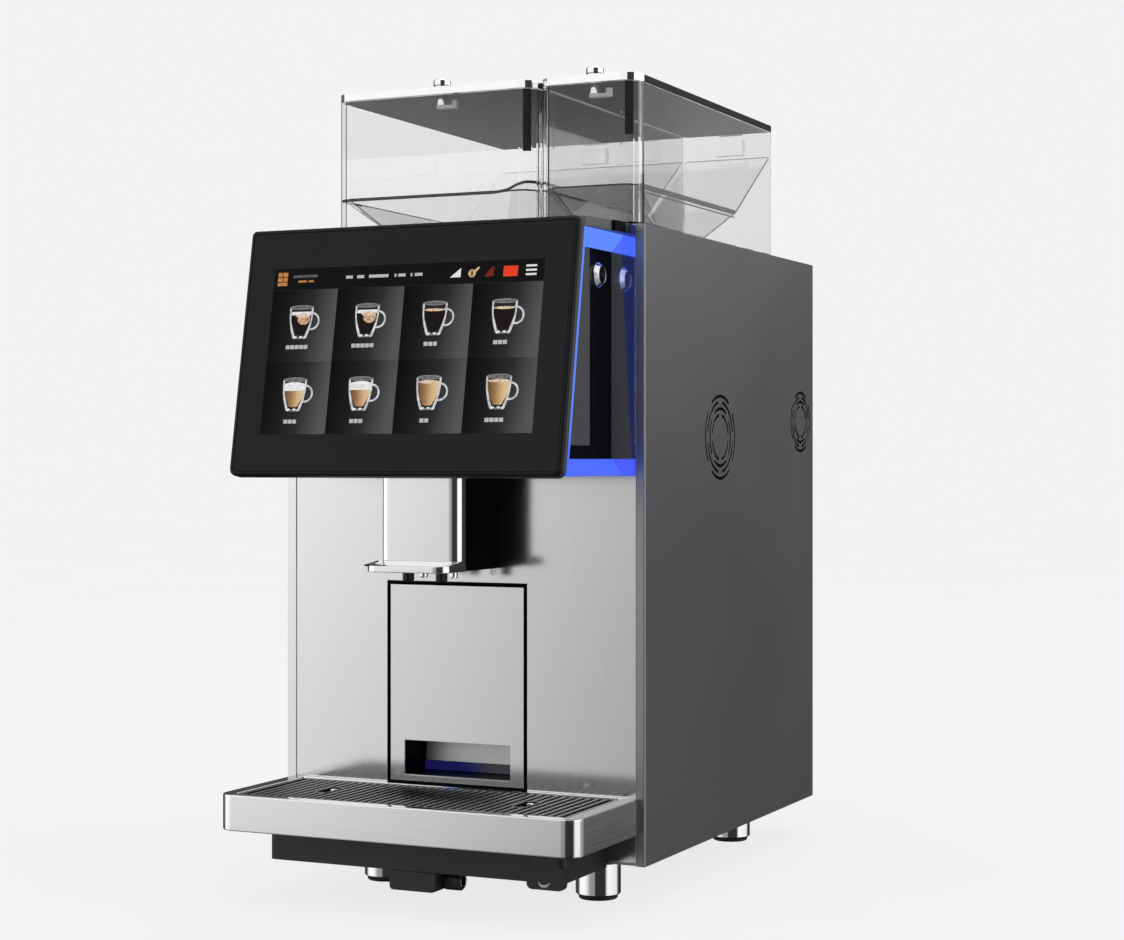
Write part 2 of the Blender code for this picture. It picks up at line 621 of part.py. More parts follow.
def drain_block(m):
    outline = rounded(-0.0187, 0.0187, 0.0147, SUPPORT_LOW - GAP, 0.003, 0, 3)
    obj = make_object("drain_block", prism(outline, "Y", SUPPORT_FRONT, SUPPORT_FRONT + 0.035), m["black"])
    mouth = prism(circle(SUPPORT_FRONT + 0.018, 0.0215, 0.0050, 16), "X", 0.004, 0.03)
    return boolean(obj, mouth)


# ---------------------------------------------------------------- grounds drawer


def drawer_sleeve(m):
    x0, x1 = DRAWER_X0 - 0.0055, DRAWER_X1 + 0.0055
    bm = block(x0, x1, FRONT_Y + SHEET + GAP, FRONT_Y + 0.215, 0.0785, DRAWER_HIGH + 0.0055)
    obj = make_object("drawer_sleeve", bm, m["black"])
    wall = 0.0040
    z0, z1 = DRAWER_LOW - 0.0006, DRAWER_HIGH + 0.0015
    boolean(obj, block(x0 + wall, x1 - wall, FRONT_Y - CLEAR, FRONT_Y + 0.23, z0, z1))
    half = 0.030  # opening under the brewer, where the pucks fall in
    y0, y1 = BREW_Y - half, BREW_Y + half
    return boolean(obj, block(DRAWER_MIDDLE - half, DRAWER_MIDDLE + half, y0, y1, z1 - CLEAR, z1 + 2 * CLEAR))


def drawer_front(m):
    bm = block(DRAWER_X0, DRAWER_X1, FRONT_Y, FRONT_Y + SHEET, DRAWER_LOW, DRAWER_HIGH)
    obj = make_object("drawer_front", bm, m["steel"])
    return boolean(obj, block(SLOT_X0, SLOT_X1, FRONT_Y - CLEAR, FRONT_Y + CLEAR, SLOT_LOW, SLOT_HIGH))


def handle_box(m):
    wall, y0 = 0.003, FRONT_Y + SHEET + GAP
    y1 = y0 + SLOT_DEPTH + 0.001
    bm = block(SLOT_X0 - wall, SLOT_X1 + wall, y0, y1, SLOT_LOW - wall, SLOT_HIGH + wall)
    obj = make_object("handle_box", bm, m["black"])
    return boolean(obj, block(SLOT_X0, SLOT_X1, FRONT_Y - CLEAR, FRONT_Y + SLOT_DEPTH, SLOT_LOW, SLOT_HIGH))


def handle_flap(m):
    y1 = FRONT_Y + SLOT_DEPTH - GAP
    x0, x1, low, high = SLOT_X0 + 0.002, SLOT_X1 - 0.0004, SLOT_LOW + 0.0076, SLOT_HIGH - 0.0004
    bm = block(x0, x1, y1 - 0.0015, y1, low, high)
    return make_object("handle_flap", bm, m["steel"])


def grounds_bin(m):
    x0, x1 = DRAWER_X0 + 0.004, DRAWER_X1 - 0.004
    z0, wall = DRAWER_LOW + 0.0005, 0.0025
    obj = make_object("grounds_bin", block(x0, x1, BIN_Y0, BIN_Y1, z0, BIN_HIGH), m["black"])
    inside = block(x0 + wall, x1 - wall, BIN_Y0 + wall, BIN_Y1 - wall, z0 + wall, BIN_HIGH + CLEAR)
    return boolean(obj, inside)


# ---------------------------------------------------------------- hoppers and lids


def hopper_outline(x0, x1, inset):
    y0, y1 = FRONT_Y + inset, FRONT_Y + HOPPER_DEPTH - inset
    return rounded(x0 + inset, x1 - inset, y0, y1, HOPPER_CORNER - inset, 0.004 - inset, 4)


def hopper(name, x0, x1, m):
    middle = (x0 + x1) / 2
    bm = prism(hopper_outline(x0, x1, 0), "Z", HOPPER_LOW, HOPPER_HIGH)
    obj = make_object(name, bm, m["clear"], (middle, NECK_Y, HOPPER_LOW))
    lug = block(middle - 0.012, middle + 0.012, LUG_Y, LUG_Y + 0.009, 0.582, 0.5950)
    neck = prism(circle(middle, NECK_Y, NECK_R, 24), "Z", NECK_LOW, HOPPER_LOW + 0.001)
    boolean(obj, merged(neck, lug), "UNION")
    floor = HOPPER_LOW + 0.002
    boolean(obj, prism(hopper_outline(x0, x1, HOPPER_WALL), "Z", floor, HOPPER_HIGH + CLEAR))
    return boolean(obj, prism(circle(middle, NECK_Y, NECK_BORE, 24), "Z", NECK_LOW - CLEAR, floor + CLEAR))


def funnel(name, x0, x1, m):
    """A sloping chute inside the hopper: its rim runs level along the front and rises at the back."""
    inset = HOPPER_WALL + 0.0006
    left, right, front, back = x0 + inset, x1 - inset, FRONT_Y + inset, FRONT_Y + HOPPER_DEPTH - inset
    middle, half, throat = (x0 + x1) / 2, FUNNEL_OUTLET * (x1 - x0) / 2, 0.4985
    corner = 0.008
    rim = [(left + corner, front), (right - corner, front), (right, front + corner), (right, FUNNEL_BEND)]
    rim += [(left, FUNNEL_BEND), (left, front + corner)]
    outlet = [(middle - half, FRONT_Y + 0.06), (middle + half, FRONT_Y + 0.06)]
    outlet += [(middle + half, FUNNEL_THROAT_BACK), (middle - half, FUNNEL_THROAT_BACK)]
    bm = bmesh.new()
    r = [bm.verts.new((x, y, FUNNEL_RIM)) for x, y in rim]
    o = [bm.verts.new((x, y, throat)) for x, y in outlet]
    b = [bm.verts.new((x, back, FUNNEL_BACK_RIM)) for x in (left, right)]
    faces = [(r[0], r[1], o[1], o[0]), (r[1], r[2], o[1]), (r[2], r[3], o[2], o[1])]
    faces += [(r[3], r[4], o[3], o[2]), (r[4], r[5], o[0], o[3]), (r[5], r[0], o[0])]
    faces.append((r[4], r[3], b[1], b[0]))
    for corners in faces:
        bm.faces.new(corners)
    bmesh.ops.recalc_face_normals(bm, faces=bm.faces)
    if sum(face.normal.z for face in bm.faces) < 0:
        bmesh.ops.reverse_faces(bm, faces=bm.faces)
    obj = make_object(name, bm, m["clear"])
    solidify = obj.modifiers.new("Wall", "SOLIDIFY")
    solidify.thickness = FUNNEL_WALL
    solidify.offset = 1
    return obj


def lid(name, x0, x1, m):
    """The plate behind the front trim, with its hinge tab; the knob turns in its hole."""
    middle = (x0 + x1) / 2
    points = rounded(x0, x1, FRONT_Y - 0.0005, FRONT_Y + 0.2915, HOPPER_CORNER, 0.004, 4)
    origin = (middle, LID_HINGE.y, LID_HINGE.z)
    obj = make_object(name, prism(points, "Z", LID_LOW, LID_HIGH - 0.0005), m["lid"], origin)
    tab = block(middle - 0.010, middle + 0.010, LUG_Y, LUG_Y + 0.0085, LID_LOW, LID_HIGH - 0.001)
    boolean(obj, tab, "UNION")
    ledge = TRIM_WALL + GAP
    keep = rounded(x0 + ledge, x1 - ledge, FRONT_Y - 0.0005 + ledge, FRONT_Y + 0.02, HOPPER_CORNER - ledge)
    front = rounded(x0 - 0.001, x1 + 0.001, FRONT_Y - CLEAR, FRONT_Y + TRIM_DEPTH + GAP, 0.001)
    trim_space = cutter_object(f"{name}_trim_space", prism(front, "Z", 0.55, 0.65))
    inside = trim_space.modifiers.new("Keep", "BOOLEAN")
    inside.object = cutter_object(f"{name}_keep", prism(keep, "Z", 0.5, 0.7))
    trim = obj.modifiers.new("Trim", "BOOLEAN")
    trim.object = trim_space
    return boolean(obj, prism(circle(middle, KNOB_Y, 0.0045, 20), "Z", LID_LOW - CLEAR, LID_HIGH + CLEAR))


def lid_trim(name, x0, x1, m):
    """The bright band around the lid's front edge and its two front corners."""
    front, back, wall = FRONT_Y - 0.0005, FRONT_Y + TRIM_DEPTH, TRIM_WALL
    outer = rounded(x0, x1, front, back, HOPPER_CORNER, 0, 4)
    inner = rounded(x0 + wall, x1 - wall, front + wall, back, HOPPER_CORNER - wall, 0, 4)
    outline = outer[:-1] + [inner[-2]] + inner[:-2][::-1] + [inner[-1], outer[-1]]
    origin = ((x0 + x1) / 2, LID_HINGE.y, LID_HINGE.z)
    return make_object(name, prism(outline, "Z", LID_LOW, LID_HIGH), m["chrome"], origin)


def lid_lock(name, x0, x1, m):
    """Turning knob: a cap over the lid, a stem through it and a cam under it."""
    middle = (x0 + x1) / 2
    top = LID_HIGH + 0.0003
    profile = [(0, CAM_HIGH - 0.0006), (STEM_R, CAM_HIGH - 0.0006), (STEM_R, top), (KNOB_R, top)]
    profile += [(KNOB_R, KNOB_HIGH - 0.001), (KNOB_R - 0.001, KNOB_HIGH), (0, KNOB_HIGH)]
    knob = turned(profile, "Z", (middle, KNOB_Y), 20)
    obj = make_object(name, knob, m["chrome"], (middle, KNOB_Y, LID_HIGH))
    y0, y1 = KNOB_Y - 0.003, KNOB_Y + 0.003
    outline = rounded(middle - 0.004, middle + 0.014, y0, y1, 0.0028, 0.0028, 2)
    cam = prism(outline, "Z", CAM_LOW, CAM_HIGH)
    return boolean(obj, cam, "UNION")


# ---------------------------------------------------------------- inside the cabinet


def grinder(m):
    x = sum(HOPPERS["left"]) / 2
    low, high = GRINDER_LOW, GRINDER_HIGH
    profile = [(0, low), (GRINDER_R - 0.004, low), (GRINDER_R, low + 0.004), (GRINDER_R, high)]
    profile += [(GRINDER_R - 0.006, high), (GRINDER_R - 0.006, high - 0.030), (0, high - 0.030)]
    make_object("grinder_housing", turned(profile, "Z", (x, NECK_Y), 20), m["aluminium"])
    low = high - 0.0297
    profile = [(0, low), (0.030, low), (0.030, low + 0.006), (0.012, low + 0.020), (0, low + 0.022)]
    make_object("grinder_burr", turned(profile, "Z", (x, NECK_Y), 16), m["chrome"], (x, NECK_Y, low))


def brew_unit(m):
    x, wall = SPOUT_X, 0.004
    low, high = BREW_LOW, BREW_HIGH
    profile = [(0, low), (BREW_R, low), (BREW_R, high), (BREW_R - wall, high), (BREW_R - wall, low + 0.006)]
    profile.append((0, low + 0.006))
    y0 = BREW_Y + BREW_R - 0.001
    obj = make_object("brew_cylinder", turned(profile, "Z", (x, BREW_Y), 20), m["white"])
    boolean(obj, block(x - 0.025, x + 0.025, y0, y0 + 0.008, low, high + 0.050), "UNION")
    radius = BREW_R - wall - 0.0004
    profile = [(0, high + 0.002), (radius, high + 0.002), (radius, high + 0.014), (0.008, high + 0.014)]
    profile += [(0.008, high + 0.045), (0, high + 0.045)]
    origin = (x, BREW_Y, high + 0.002)
    make_object("brew_piston", turned(profile, "Z", (x, BREW_Y), 20), m["white"], origin)


def boiler(m):
    """A hollow tank with domed ends and an outlet pipe on top."""
    low, high, r, wall = BOILER_LOW, BOILER_HIGH, BOILER_R, 0.0015
    dome, shoulder, pipe = r * 0.6, 0.012, 0.006
    profile = [(0, low), (dome, low), (r, low + shoulder), (r, high - shoulder), (dome, high), (pipe, high)]
    profile += [(pipe, high + 0.015), (pipe - wall, high + 0.015), (pipe - wall, high - wall)]
    profile += [(dome, high - wall), (r - wall, high - shoulder), (r - wall, low + shoulder)]
    profile += [(dome, low + wall), (0, low + wall)]
    return make_object("boiler", turned(profile, "Z", (BOILER_X, BOILER_Y), 20), m["steel"])


def water_pump(m):
    """A motor with a narrower pump head, lying across the floor on the left."""
    x0, x_head, x1, motor, head = -0.130, -0.095, -0.072, 0.020, 0.014
    profile = [(0, x0), (motor, x0), (motor, x_head), (head, x_head), (head, x1), (0, x1)]
    return make_object("water_pump", turned(profile, "X", (FRONT_Y + 0.120, 0.062), 16), m["brass"])


def control_board(m):
    """A board with three chips, each (along, up, size, height) from the board's front lower corner."""
    (y0, y1), low, face = BOARD_Y, BOARD_LOW, BOARD_X + BOARD_THICK
    obj = make_object("control_board", block(BOARD_X, face, y0, y1, low, low + 0.090), m["board"])
    chips = [
        block(face - 0.0002, face - 0.0002 + height, y0 + y, y0 + y + size, low + z, low + z + size)
        for y, z, size, height in CHIPS
    ]
    return boolean(obj, merged(*chips), "UNION")


def power_supply(m):
    bm = block(-0.135, -0.075, FRONT_Y + 0.230, FRONT_Y + 0.345, 0.100, 0.200)
    return make_object("power_supply", bm, m["aluminium"])


def fan(name, y, z, radius, m):
    """A square fan frame behind a vent, and the rotor that turns in it."""
    y, half, bore = FRONT_Y + y, radius - 0.0005, radius - 0.003
    low, high = FAN_BACK, WIDTH / 2 - SHEET - 0.0005
    body = block(low, high, y - half, y + half, z - half, z + half)
    frame = make_object(f"fan_frame_{name}", body, m["black"])
    boolean(frame, prism(circle(y, z, bore, 24), "X", low + 0.002, high + CLEAR))
    boolean(frame, prism(circle(y, z, bore * 0.5, 16), "X", low - CLEAR, high))
    hub = prism(circle(y, z, FAN_HUB, 14), "X", low + 0.004, high - 0.002)
    rotor = make_object(f"fan_rotor_{name}", hub, m["black"], (0, y, z))
    twist = Matrix.Rotation(radians(35), 3, "Z")
    middle = ((low + high) / 2 + 0.0002, 0, 0)
    blades = []
    for i in range(FAN_BLADES):
        blade = block(low + 0.006, high - 0.004, -0.0008, 0.0008, FAN_HUB - 0.002, bore - 0.0015)
        turn = Matrix.Rotation(2 * pi * i / FAN_BLADES, 3, "X")
        bmesh.ops.rotate(blade, verts=blade.verts, matrix=twist, cent=middle)
        bmesh.ops.rotate(blade, verts=blade.verts, matrix=turn, cent=(0, 0, 0))
        bmesh.ops.translate(blade, verts=blade.verts, vec=(0, y, z))
        blades.append(blade)
    boolean(rotor, merged(*blades), "UNION")


# ---------------------------------------------------------------- assembly


def clear_scene():
    for obj in list(bpy.data.objects):
        bpy.data.objects.remove(obj)


def build_cabinet(m):
    side_panel("side_panel_right", 1, m)
    side_panel("side_panel_left", -1, m)
    for make in (base_plate, top_plate, front_panel, lower_front_plate, rear_panel):
        make(m)
    power_inlet(m)
    water_inlet(m)
    for place, (x, y) in FEET.items():
        foot(f"foot_{place}", x, y, m)


def build_head(m):
    for make in (display_bezel, display_glass, display_screen, head_housing, head_cover):
        make(m)
    button_bezel(m)
    power_button(m)
    light_guide("light_guide_right", 1, m)
    light_guide("light_guide_left", -1, m)


def build_spout(m):
    for make in (spout_cover, spout_body, guide_rods):
        make(m)
    top = LIP_LOW - GAP
    for side, sign in (("left", -1), ("right", 1)):
        dx, y = COFFEE_NOZZLE
        nozzle(f"coffee_nozzle_{side}", sign * dx, y, 0.0043, 0.2360, top, m["black"])
        dx, y = MILK_NOZZLE
        nozzle(f"milk_nozzle_{side}", sign * dx, y, 0.0030, 0.2375, top, m["chrome"])


def build_tray(m):
    for make in (drip_tray, drip_grate, tray_support, drain_block):
        make(m)


def build_drawer(m):
    for make in (drawer_sleeve, drawer_front, handle_box, handle_flap, grounds_bin):
        make(m)


def build_hoppers(m):
    for side, (x0, x1) in HOPPERS.items():
        hopper(f"hopper_{side}", x0, x1, m)
        funnel(f"funnel_{side}", x0, x1, m)
        lid(f"lid_{side}", x0, x1, m)
        lid_trim(f"lid_trim_{side}", x0, x1, m)
        lid_lock(f"lid_lock_{side}", x0, x1, m)


def build_inside(m):
    for make in (grinder, brew_unit, boiler, water_pump, control_board, power_supply):
        make(m)
    for name, vent in zip(("front", "rear"), VENTS):
        fan(name, *vent, m)


def main():
    clear_scene()
    m = make_materials()
    for build in (build_cabinet, build_head, build_spout, build_tray, build_drawer):
        build(m)
    build_hoppers(m)
    build_inside(m)


main()
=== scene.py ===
"""The looks of the coffee machine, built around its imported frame."""

from math import cos, pi, radians, sin, tan

import bmesh
import bpy
from mathutils import Matrix, Vector


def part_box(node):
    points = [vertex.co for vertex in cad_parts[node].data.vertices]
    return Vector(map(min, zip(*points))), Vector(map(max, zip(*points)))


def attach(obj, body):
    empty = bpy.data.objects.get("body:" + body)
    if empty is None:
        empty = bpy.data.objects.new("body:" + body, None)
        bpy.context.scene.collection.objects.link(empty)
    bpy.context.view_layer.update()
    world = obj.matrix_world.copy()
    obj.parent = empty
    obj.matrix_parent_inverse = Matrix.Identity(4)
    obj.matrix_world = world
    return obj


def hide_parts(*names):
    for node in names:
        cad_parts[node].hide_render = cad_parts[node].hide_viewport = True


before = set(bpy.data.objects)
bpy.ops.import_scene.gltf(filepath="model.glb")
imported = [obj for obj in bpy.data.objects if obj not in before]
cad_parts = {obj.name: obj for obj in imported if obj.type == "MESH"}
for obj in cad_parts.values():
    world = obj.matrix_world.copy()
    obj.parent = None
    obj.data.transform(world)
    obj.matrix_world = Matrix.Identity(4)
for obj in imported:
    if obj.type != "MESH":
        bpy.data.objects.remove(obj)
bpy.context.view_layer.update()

# ---- sizes read from the frame

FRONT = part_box("front_panel")[0].y
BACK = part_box("rear_panel")[1].y
BODY_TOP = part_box("front_panel")[1].z
HOPPER_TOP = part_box("hopper_left")[1].z
KNOB_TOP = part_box("lid_lock_left")[1].z
PANEL_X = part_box("side_panel_right")[1].x
HEAD_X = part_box("head_housing")[1].x
HEAD_LOW, HEAD_HIGH = (corner.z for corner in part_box("head_housing"))
TILT = radians(10)
DISPLAY_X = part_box("display_bezel")[1].x
DISPLAY_THICK = 0.010
DISPLAY_LONG = 0.184
DISPLAY_FOOT = Vector((0, FRONT - 0.109, 0.3130))
SCREEN_W, SCREEN_H, SCREEN_LOW = 0.220, 0.124, 0.030
BAR_H = 0.0166
TILE_W, TILE_H = SCREEN_W / 4, (SCREEN_H - BAR_H) / 2
TRAY_X, TRAY_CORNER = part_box("drip_tray")[1].x, 0.0125
TRAY_FRONT, TRAY_BACK = (corner.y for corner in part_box("drip_tray"))
TRAY_LOW, TRAY_TOP = (corner.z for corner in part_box("drip_tray"))
GRATE_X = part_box("drip_grate")[1].x
GRATE_FRONT, GRATE_BACK = (corner.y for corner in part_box("drip_grate"))
GRATE_LOW, GRATE_TOP = (corner.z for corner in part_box("drip_grate"))
GRATE_PITCH, GRATE_SLOT, GRATE_COUNT = 0.0065, 0.0036, 40
FINGER_X, FINGER_Y, FINGER_W, FINGER_L = 0.081, FRONT - 0.053, 0.010, 0.028
SPOUT_X, SPOUT_HALF, LIP_HALF = -0.0012, 0.0330, 0.0335
LIP_FRONT, SPOUT_SPLIT = (corner.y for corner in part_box("spout_cover"))
LIP_LOW, SHAFT_TOP = (corner.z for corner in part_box("spout_cover"))
SPOUT_FRONT = FRONT - 0.063
LIP_TOP, SHAFT_FOOT = 0.2487, 0.2512  # heights of the spout's sloping top, at the lip's edge and at the shaft
HOPPERS = {side: tuple(corner.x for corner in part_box(f"hopper_{side}")) for side in ("left", "right")}
HOPPER_WALL, HOPPER_CORNER = 0.0039, 0.013
CHUTE_LOW, CHUTE_HIGH = 0.5235, 0.5300  # heights of a chute's rim at the front and at the side
SHADE_FOOT = {"left": 0.5525, "right": 0.5600}  # where the painted shade strip on each hopper's corner ends
BUTTON = (FRONT - 0.024, 0.4565)
VENTS = ((FRONT + 0.153, 0.342, 0.0335), (FRONT + 0.347, 0.357, 0.0263))  # place, height and outer radius
VENT_SLOT, VENT_ARC, VENT_SHRINK = 0.0025, radians(35.5), 0.46
FEET = ("front_right", "front_left", "rear_right", "rear_left")
SIDES = ((1, "right"), (-1, "left"))
SHARP = radians(35)
GAP = 0.00012

# ---- shape helpers


def arc(cx, cy, radius, start, end, steps):
    """Points along an arc, both ends included."""
    return [
        (cx + radius * cos(a), cy + radius * sin(a))
        for a in (start + (end - start) * i / steps for i in range(steps + 1))
    ]


def rounded(x0, x1, y0, y1, r_front, r_back=0.0, steps=8):
    """A rectangle's outline, counter-clockwise; the corners at y0 have r_front, those at y1 r_back."""
    points = []
    corners = (
        (x0, y0, 1, 1, r_front, pi),
        (x1, y0, -1, 1, r_front, 1.5 * pi),
        (x1, y1, -1, -1, r_back, 0),
        (x0, y1, 1, -1, r_back, 0.5 * pi),
    )
    for x, y, dx, dy, radius, start in corners:
        if radius > 0:
            points += arc(x + dx * radius, y + dy * radius, radius, start, start + pi / 2, steps)
        else:
            points.append((x, y))
    return points


def circle(cx, cy, radius, steps):
    return arc(cx, cy, radius, 0, 2 * pi, steps)[:-1]


def lift(point, height, axis):
    """A flat point raised along an axis."""
    u, v = point
    return {"X": (height, u, v), "Y": (u, height, v), "Z": (u, v, height)}[axis]


def loft(sections, ring=False, bm=None):
    """A closed body through outlines with the same number of points; ring joins the last to the first."""
    bm = bm or bmesh.new()
    rings = [[bm.verts.new(p) for p in section] for section in sections]
    count = len(rings[0])
    pairs = list(zip(rings, rings[1:]))
    if ring:
        pairs.append((rings[-1], rings[0]))
    for low, high in pairs:
        for i in range(count):
            j = (i + 1) % count
            bm.faces.new((low[i], low[j], high[j], high[i]))
    if not ring:
        bm.faces.new(rings[0][::-1])
        bm.faces.new(rings[-1])
    return bm


def level(points, z):
    return [(x, y, z) for x, y in points]


def prism(outline, axis, low, high, bm=None):
    return loft([[lift(p, h, axis) for p in outline] for h in (low, high)], bm=bm)


def block(x0, x1, y0, y1, z0, z1, bm=None):
    return prism([(x0, y0), (x1, y0), (x1, y1), (x0, y1)], "Z", z0, z1, bm)


def turned(profile, axis, centre, steps=48, ring=False, bm=None):
    """A turned body from (radius, height) pairs; a radius of 0 closes an end."""
    bm = bm or bmesh.new()
    rings = []
    for radius, height in profile:
        points = circle(*centre, radius, steps) if radius > 0 else [centre]
        rings.append([bm.verts.new(lift(p, height, axis)) for p in points])
    pairs = list(zip(rings, rings[1:]))
    if ring:
        pairs.append((rings[-1], rings[0]))
    for low, high in pairs:
        for i in range(steps):
            j = (i + 1) % steps
            corners = [low[i % len(low)], low[j % len(low)], high[j % len(high)], high[i % len(high)]]
            bm.faces.new(list(dict.fromkeys(corners)))
    return bm


def edge_shade_strip(bm, centre, radius, angle, low, high):
    """A thin dark upright strip on a rounded corner: painted shade for a dark line on the clear plastic."""
    spread = 0.00045 / radius
    outer = arc(*centre, radius + GAP, angle - spread, angle + spread, 3)
    inner = arc(*centre, radius + 0.00002, angle - spread, angle + spread, 3)
    prism(outer + inner[::-1], "Z", low, high, bm)


def piece(name, bm, material, body, replaces=(), bevel=0.0, place=None):
    """Makes the object, rides it on its body and hides the CAD nodes it stands for."""
    bmesh.ops.recalc_face_normals(bm, faces=bm.faces)
    mesh = bpy.data.meshes.new(name)
    bm.to_mesh(mesh)
    bm.free()
    for each in material if isinstance(material, tuple) else (material,):
        mesh.materials.append(each)
    mesh.shade_smooth()
    mesh.set_sharp_from_angle(angle=SHARP)
    obj = bpy.data.objects.new(name, mesh)
    bpy.context.scene.collection.objects.link(obj)
    if bevel:
        modifier = obj.modifiers.new("Edges", "BEVEL")
        modifier.width = bevel
        modifier.segments = 2
        modifier.limit_method = "ANGLE"
        modifier.angle_limit = radians(40)
    normals = obj.modifiers.new("Even shading", "WEIGHTED_NORMAL")
    normals.keep_sharp = True
    if place:
        obj.matrix_world = place
    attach(obj, body)
    if replaces:
        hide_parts(*replaces)


def middle_of(node):
    low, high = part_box(node)
    return (low + high) / 2


# ---- materials


def node_of(tree, kind, **values):
    """A new shader node; each value goes to the node's own setting or to its socket of that name."""
    node = tree.nodes.new(kind)
    for key, value in values.items():
        if hasattr(node, key):
            setattr(node, key, value)
        else:
            node.inputs[key.replace("_", " ")].default_value = value
    return node


def ramp_of(tree, source, stops):
    """A colour ramp through (place, colour) stops."""
    node = node_of(tree, "ShaderNodeValToRGB")
    tree.links.new(source, node.inputs["Fac"])
    elements = node.color_ramp.elements
    for i, (place, colour) in enumerate(stops):
        element = elements[i] if i < 2 else elements.new(place)
        element.position = place
        element.color = (*colour, 1)
    return node.outputs["Color"]


class Look:
    """A Principled material whose colour, roughness and bump come from noise in object space."""

    def __init__(self, name, **sockets):
        self.material = bpy.data.materials.new(name)
        self.material.use_nodes = True
        self.tree = self.material.node_tree
        self.shader = self.tree.nodes["Principled BSDF"]
        for socket, value in sockets.items():
            self.shader.inputs[socket.replace("_", " ")].default_value = value
        self.coords = self.node("ShaderNodeTexCoord").outputs["Object"]

    def node(self, kind, **values):
        return node_of(self.tree, kind, **values)

    def link(self, source, target):
        self.tree.links.new(source, target)

    def maths(self, operation, first, second):
        node = self.node("ShaderNodeMath", operation=operation)
        self.link(first, node.inputs[0])
        node.inputs[1].default_value = second
        return node

    def axis(self, name):
        """The point's place along X, Y or Z of the object."""
        split = self.node("ShaderNodeSeparateXYZ")
        self.link(self.coords, split.inputs["Vector"])
        return split.outputs[name]

    def spread(self, source, low, high, to_low=0.0, to_high=1.0):
        """The source moved from the range low..high to another one."""
        node = self.node("ShaderNodeMapRange", From_Min=low, From_Max=high, To_Min=to_low, To_Max=to_high)
        self.link(source, node.inputs["Value"])
        return node.outputs["Result"]

    def cell(self, source, start, size):
        """Where in its cell of a row the point is, from 0 to 1."""
        moved = self.maths("SUBTRACT", source, start)
        scaled = self.maths("DIVIDE", moved.outputs[0], size)
        return self.maths("FRACT", scaled.outputs[0], 0).outputs[0]

    def noise(self, scale, stretch=(1, 1, 1), detail=4.0):
        mapping = self.node("ShaderNodeMapping")
        mapping.inputs["Scale"].default_value = stretch
        self.link(self.coords, mapping.inputs["Vector"])
        noise = self.node("ShaderNodeTexNoise", Scale=scale, Detail=detail)
        self.link(mapping.outputs["Vector"], noise.inputs["Vector"])
        return noise.outputs["Fac"]

    def ramp(self, source, stops, socket):
        self.link(ramp_of(self.tree, source, stops), self.shader.inputs[socket])

    def colour(self, source, low, high, socket="Base Color"):
        self.ramp(source, [(0.3, low), (0.7, high)], socket)

    def rough(self, source, low, high):
        self.link(self.spread(source, 0.3, 0.7, low, high), self.shader.inputs["Roughness"])

    def bump(self, source, strength, distance, edge=0.0):
        node = self.node("ShaderNodeBump", Strength=strength, Distance=distance)
        self.link(source, node.inputs["Height"])
        if edge:
            soft = self.node("ShaderNodeBevel", samples=4, Radius=edge)
            self.link(soft.outputs["Normal"], node.inputs["Normal"])
        self.link(node.outputs["Normal"], self.shader.inputs["Normal"])


def grey(value, tint=0.0):
    return (value, value, value * (1 + tint))


def graphite_look(name, low, high):
    look = Look(name, Metallic=0.9, Specular_IOR_Level=0.5)
    look.colour(look.noise(1400), grey(low, 0.05), grey(high, 0.05))
    look.rough(look.noise(6, detail=2), 0.33, 0.36)
    look.bump(look.noise(3200, detail=2), 0.06, 0.00005, 0.0005)
    return look.material


def steel_look(name, low, high, rough_low, rough_high, stretch, edge=0.0004):
    look = Look(name, Metallic=1.0)
    lines = look.noise(700, stretch, 6)
    look.colour(lines, grey(low, -0.01), grey(high, -0.01))
    look.rough(look.noise(500, stretch, 3), rough_low, rough_high)
    look.bump(lines, 0.05, 0.00005, edge)
    return look.material


def chrome_look():
    look = Look("chrome_bright", Metallic=1.0)
    look.colour(look.noise(90), grey(0.90), grey(0.94))
    look.rough(look.noise(140), 0.03, 0.09)
    look.bump(look.noise(260), 0.02, 0.0001, 0.0003)
    return look.material


def plastic_look(name, low, high, rough_low, rough_high, grain=2600, depth=0.15, specular=0.5):
    look = Look(name, Specular_IOR_Level=specular)
    look.colour(look.noise(300), low, high)
    look.rough(look.noise(90), rough_low, rough_high)
    look.bump(look.noise(grain, detail=2), depth, 0.0001, 0.0005)
    return look.material


def gloss_look():
    look = Look("display_gloss", Specular_IOR_Level=0.14)
    look.colour(look.noise(40), (0.0140, 0.0140, 0.0178), (0.0152, 0.0152, 0.0190))
    look.rough(look.noise(25), 0.16, 0.22)
    look.bump(look.noise(30), 0.01, 0.0001)
    return look.material


def clear_look():
    look = Look("clear_plastic", IOR=1.33, Transmission_Weight=1.0)
    look.colour(look.noise(30), (0.955, 0.960, 0.965), (0.975, 0.978, 0.980))
    look.rough(look.noise(50), 0.0, 0.02)
    return look.material


def tinted_look():
    look = Look("tinted_plastic", IOR=1.12, Transmission_Weight=1.0)
    look.colour(look.noise(30), grey(0.83), grey(0.86))
    look.rough(look.noise(50), 0.0, 0.02)
    return look.material


def emitting_look(name, base, roughness, specular):
    look = Look(name, Emission_Strength=1.0, Roughness=roughness, Specular_IOR_Level=specular)
    look.shader.inputs["Base Color"].default_value = (*base, 1)
    return look


def light_look():
    """Lit light guide: paler at its top than at its foot."""
    look = emitting_look("light_guide_blue", (0.004, 0.007, 0.05), 0.5, 0.1)
    foot = (0.067, 0.145, 0.98)
    stops = [(0.0, foot), (0.07, foot), (0.2, (0.12, 0.24, 0.95)), (0.93, (0.119, 0.254, 1.0))]
    look.ramp(look.spread(look.axis("Z"), HEAD_LOW, HEAD_HIGH), stops, "Emission Color")
    return look.material


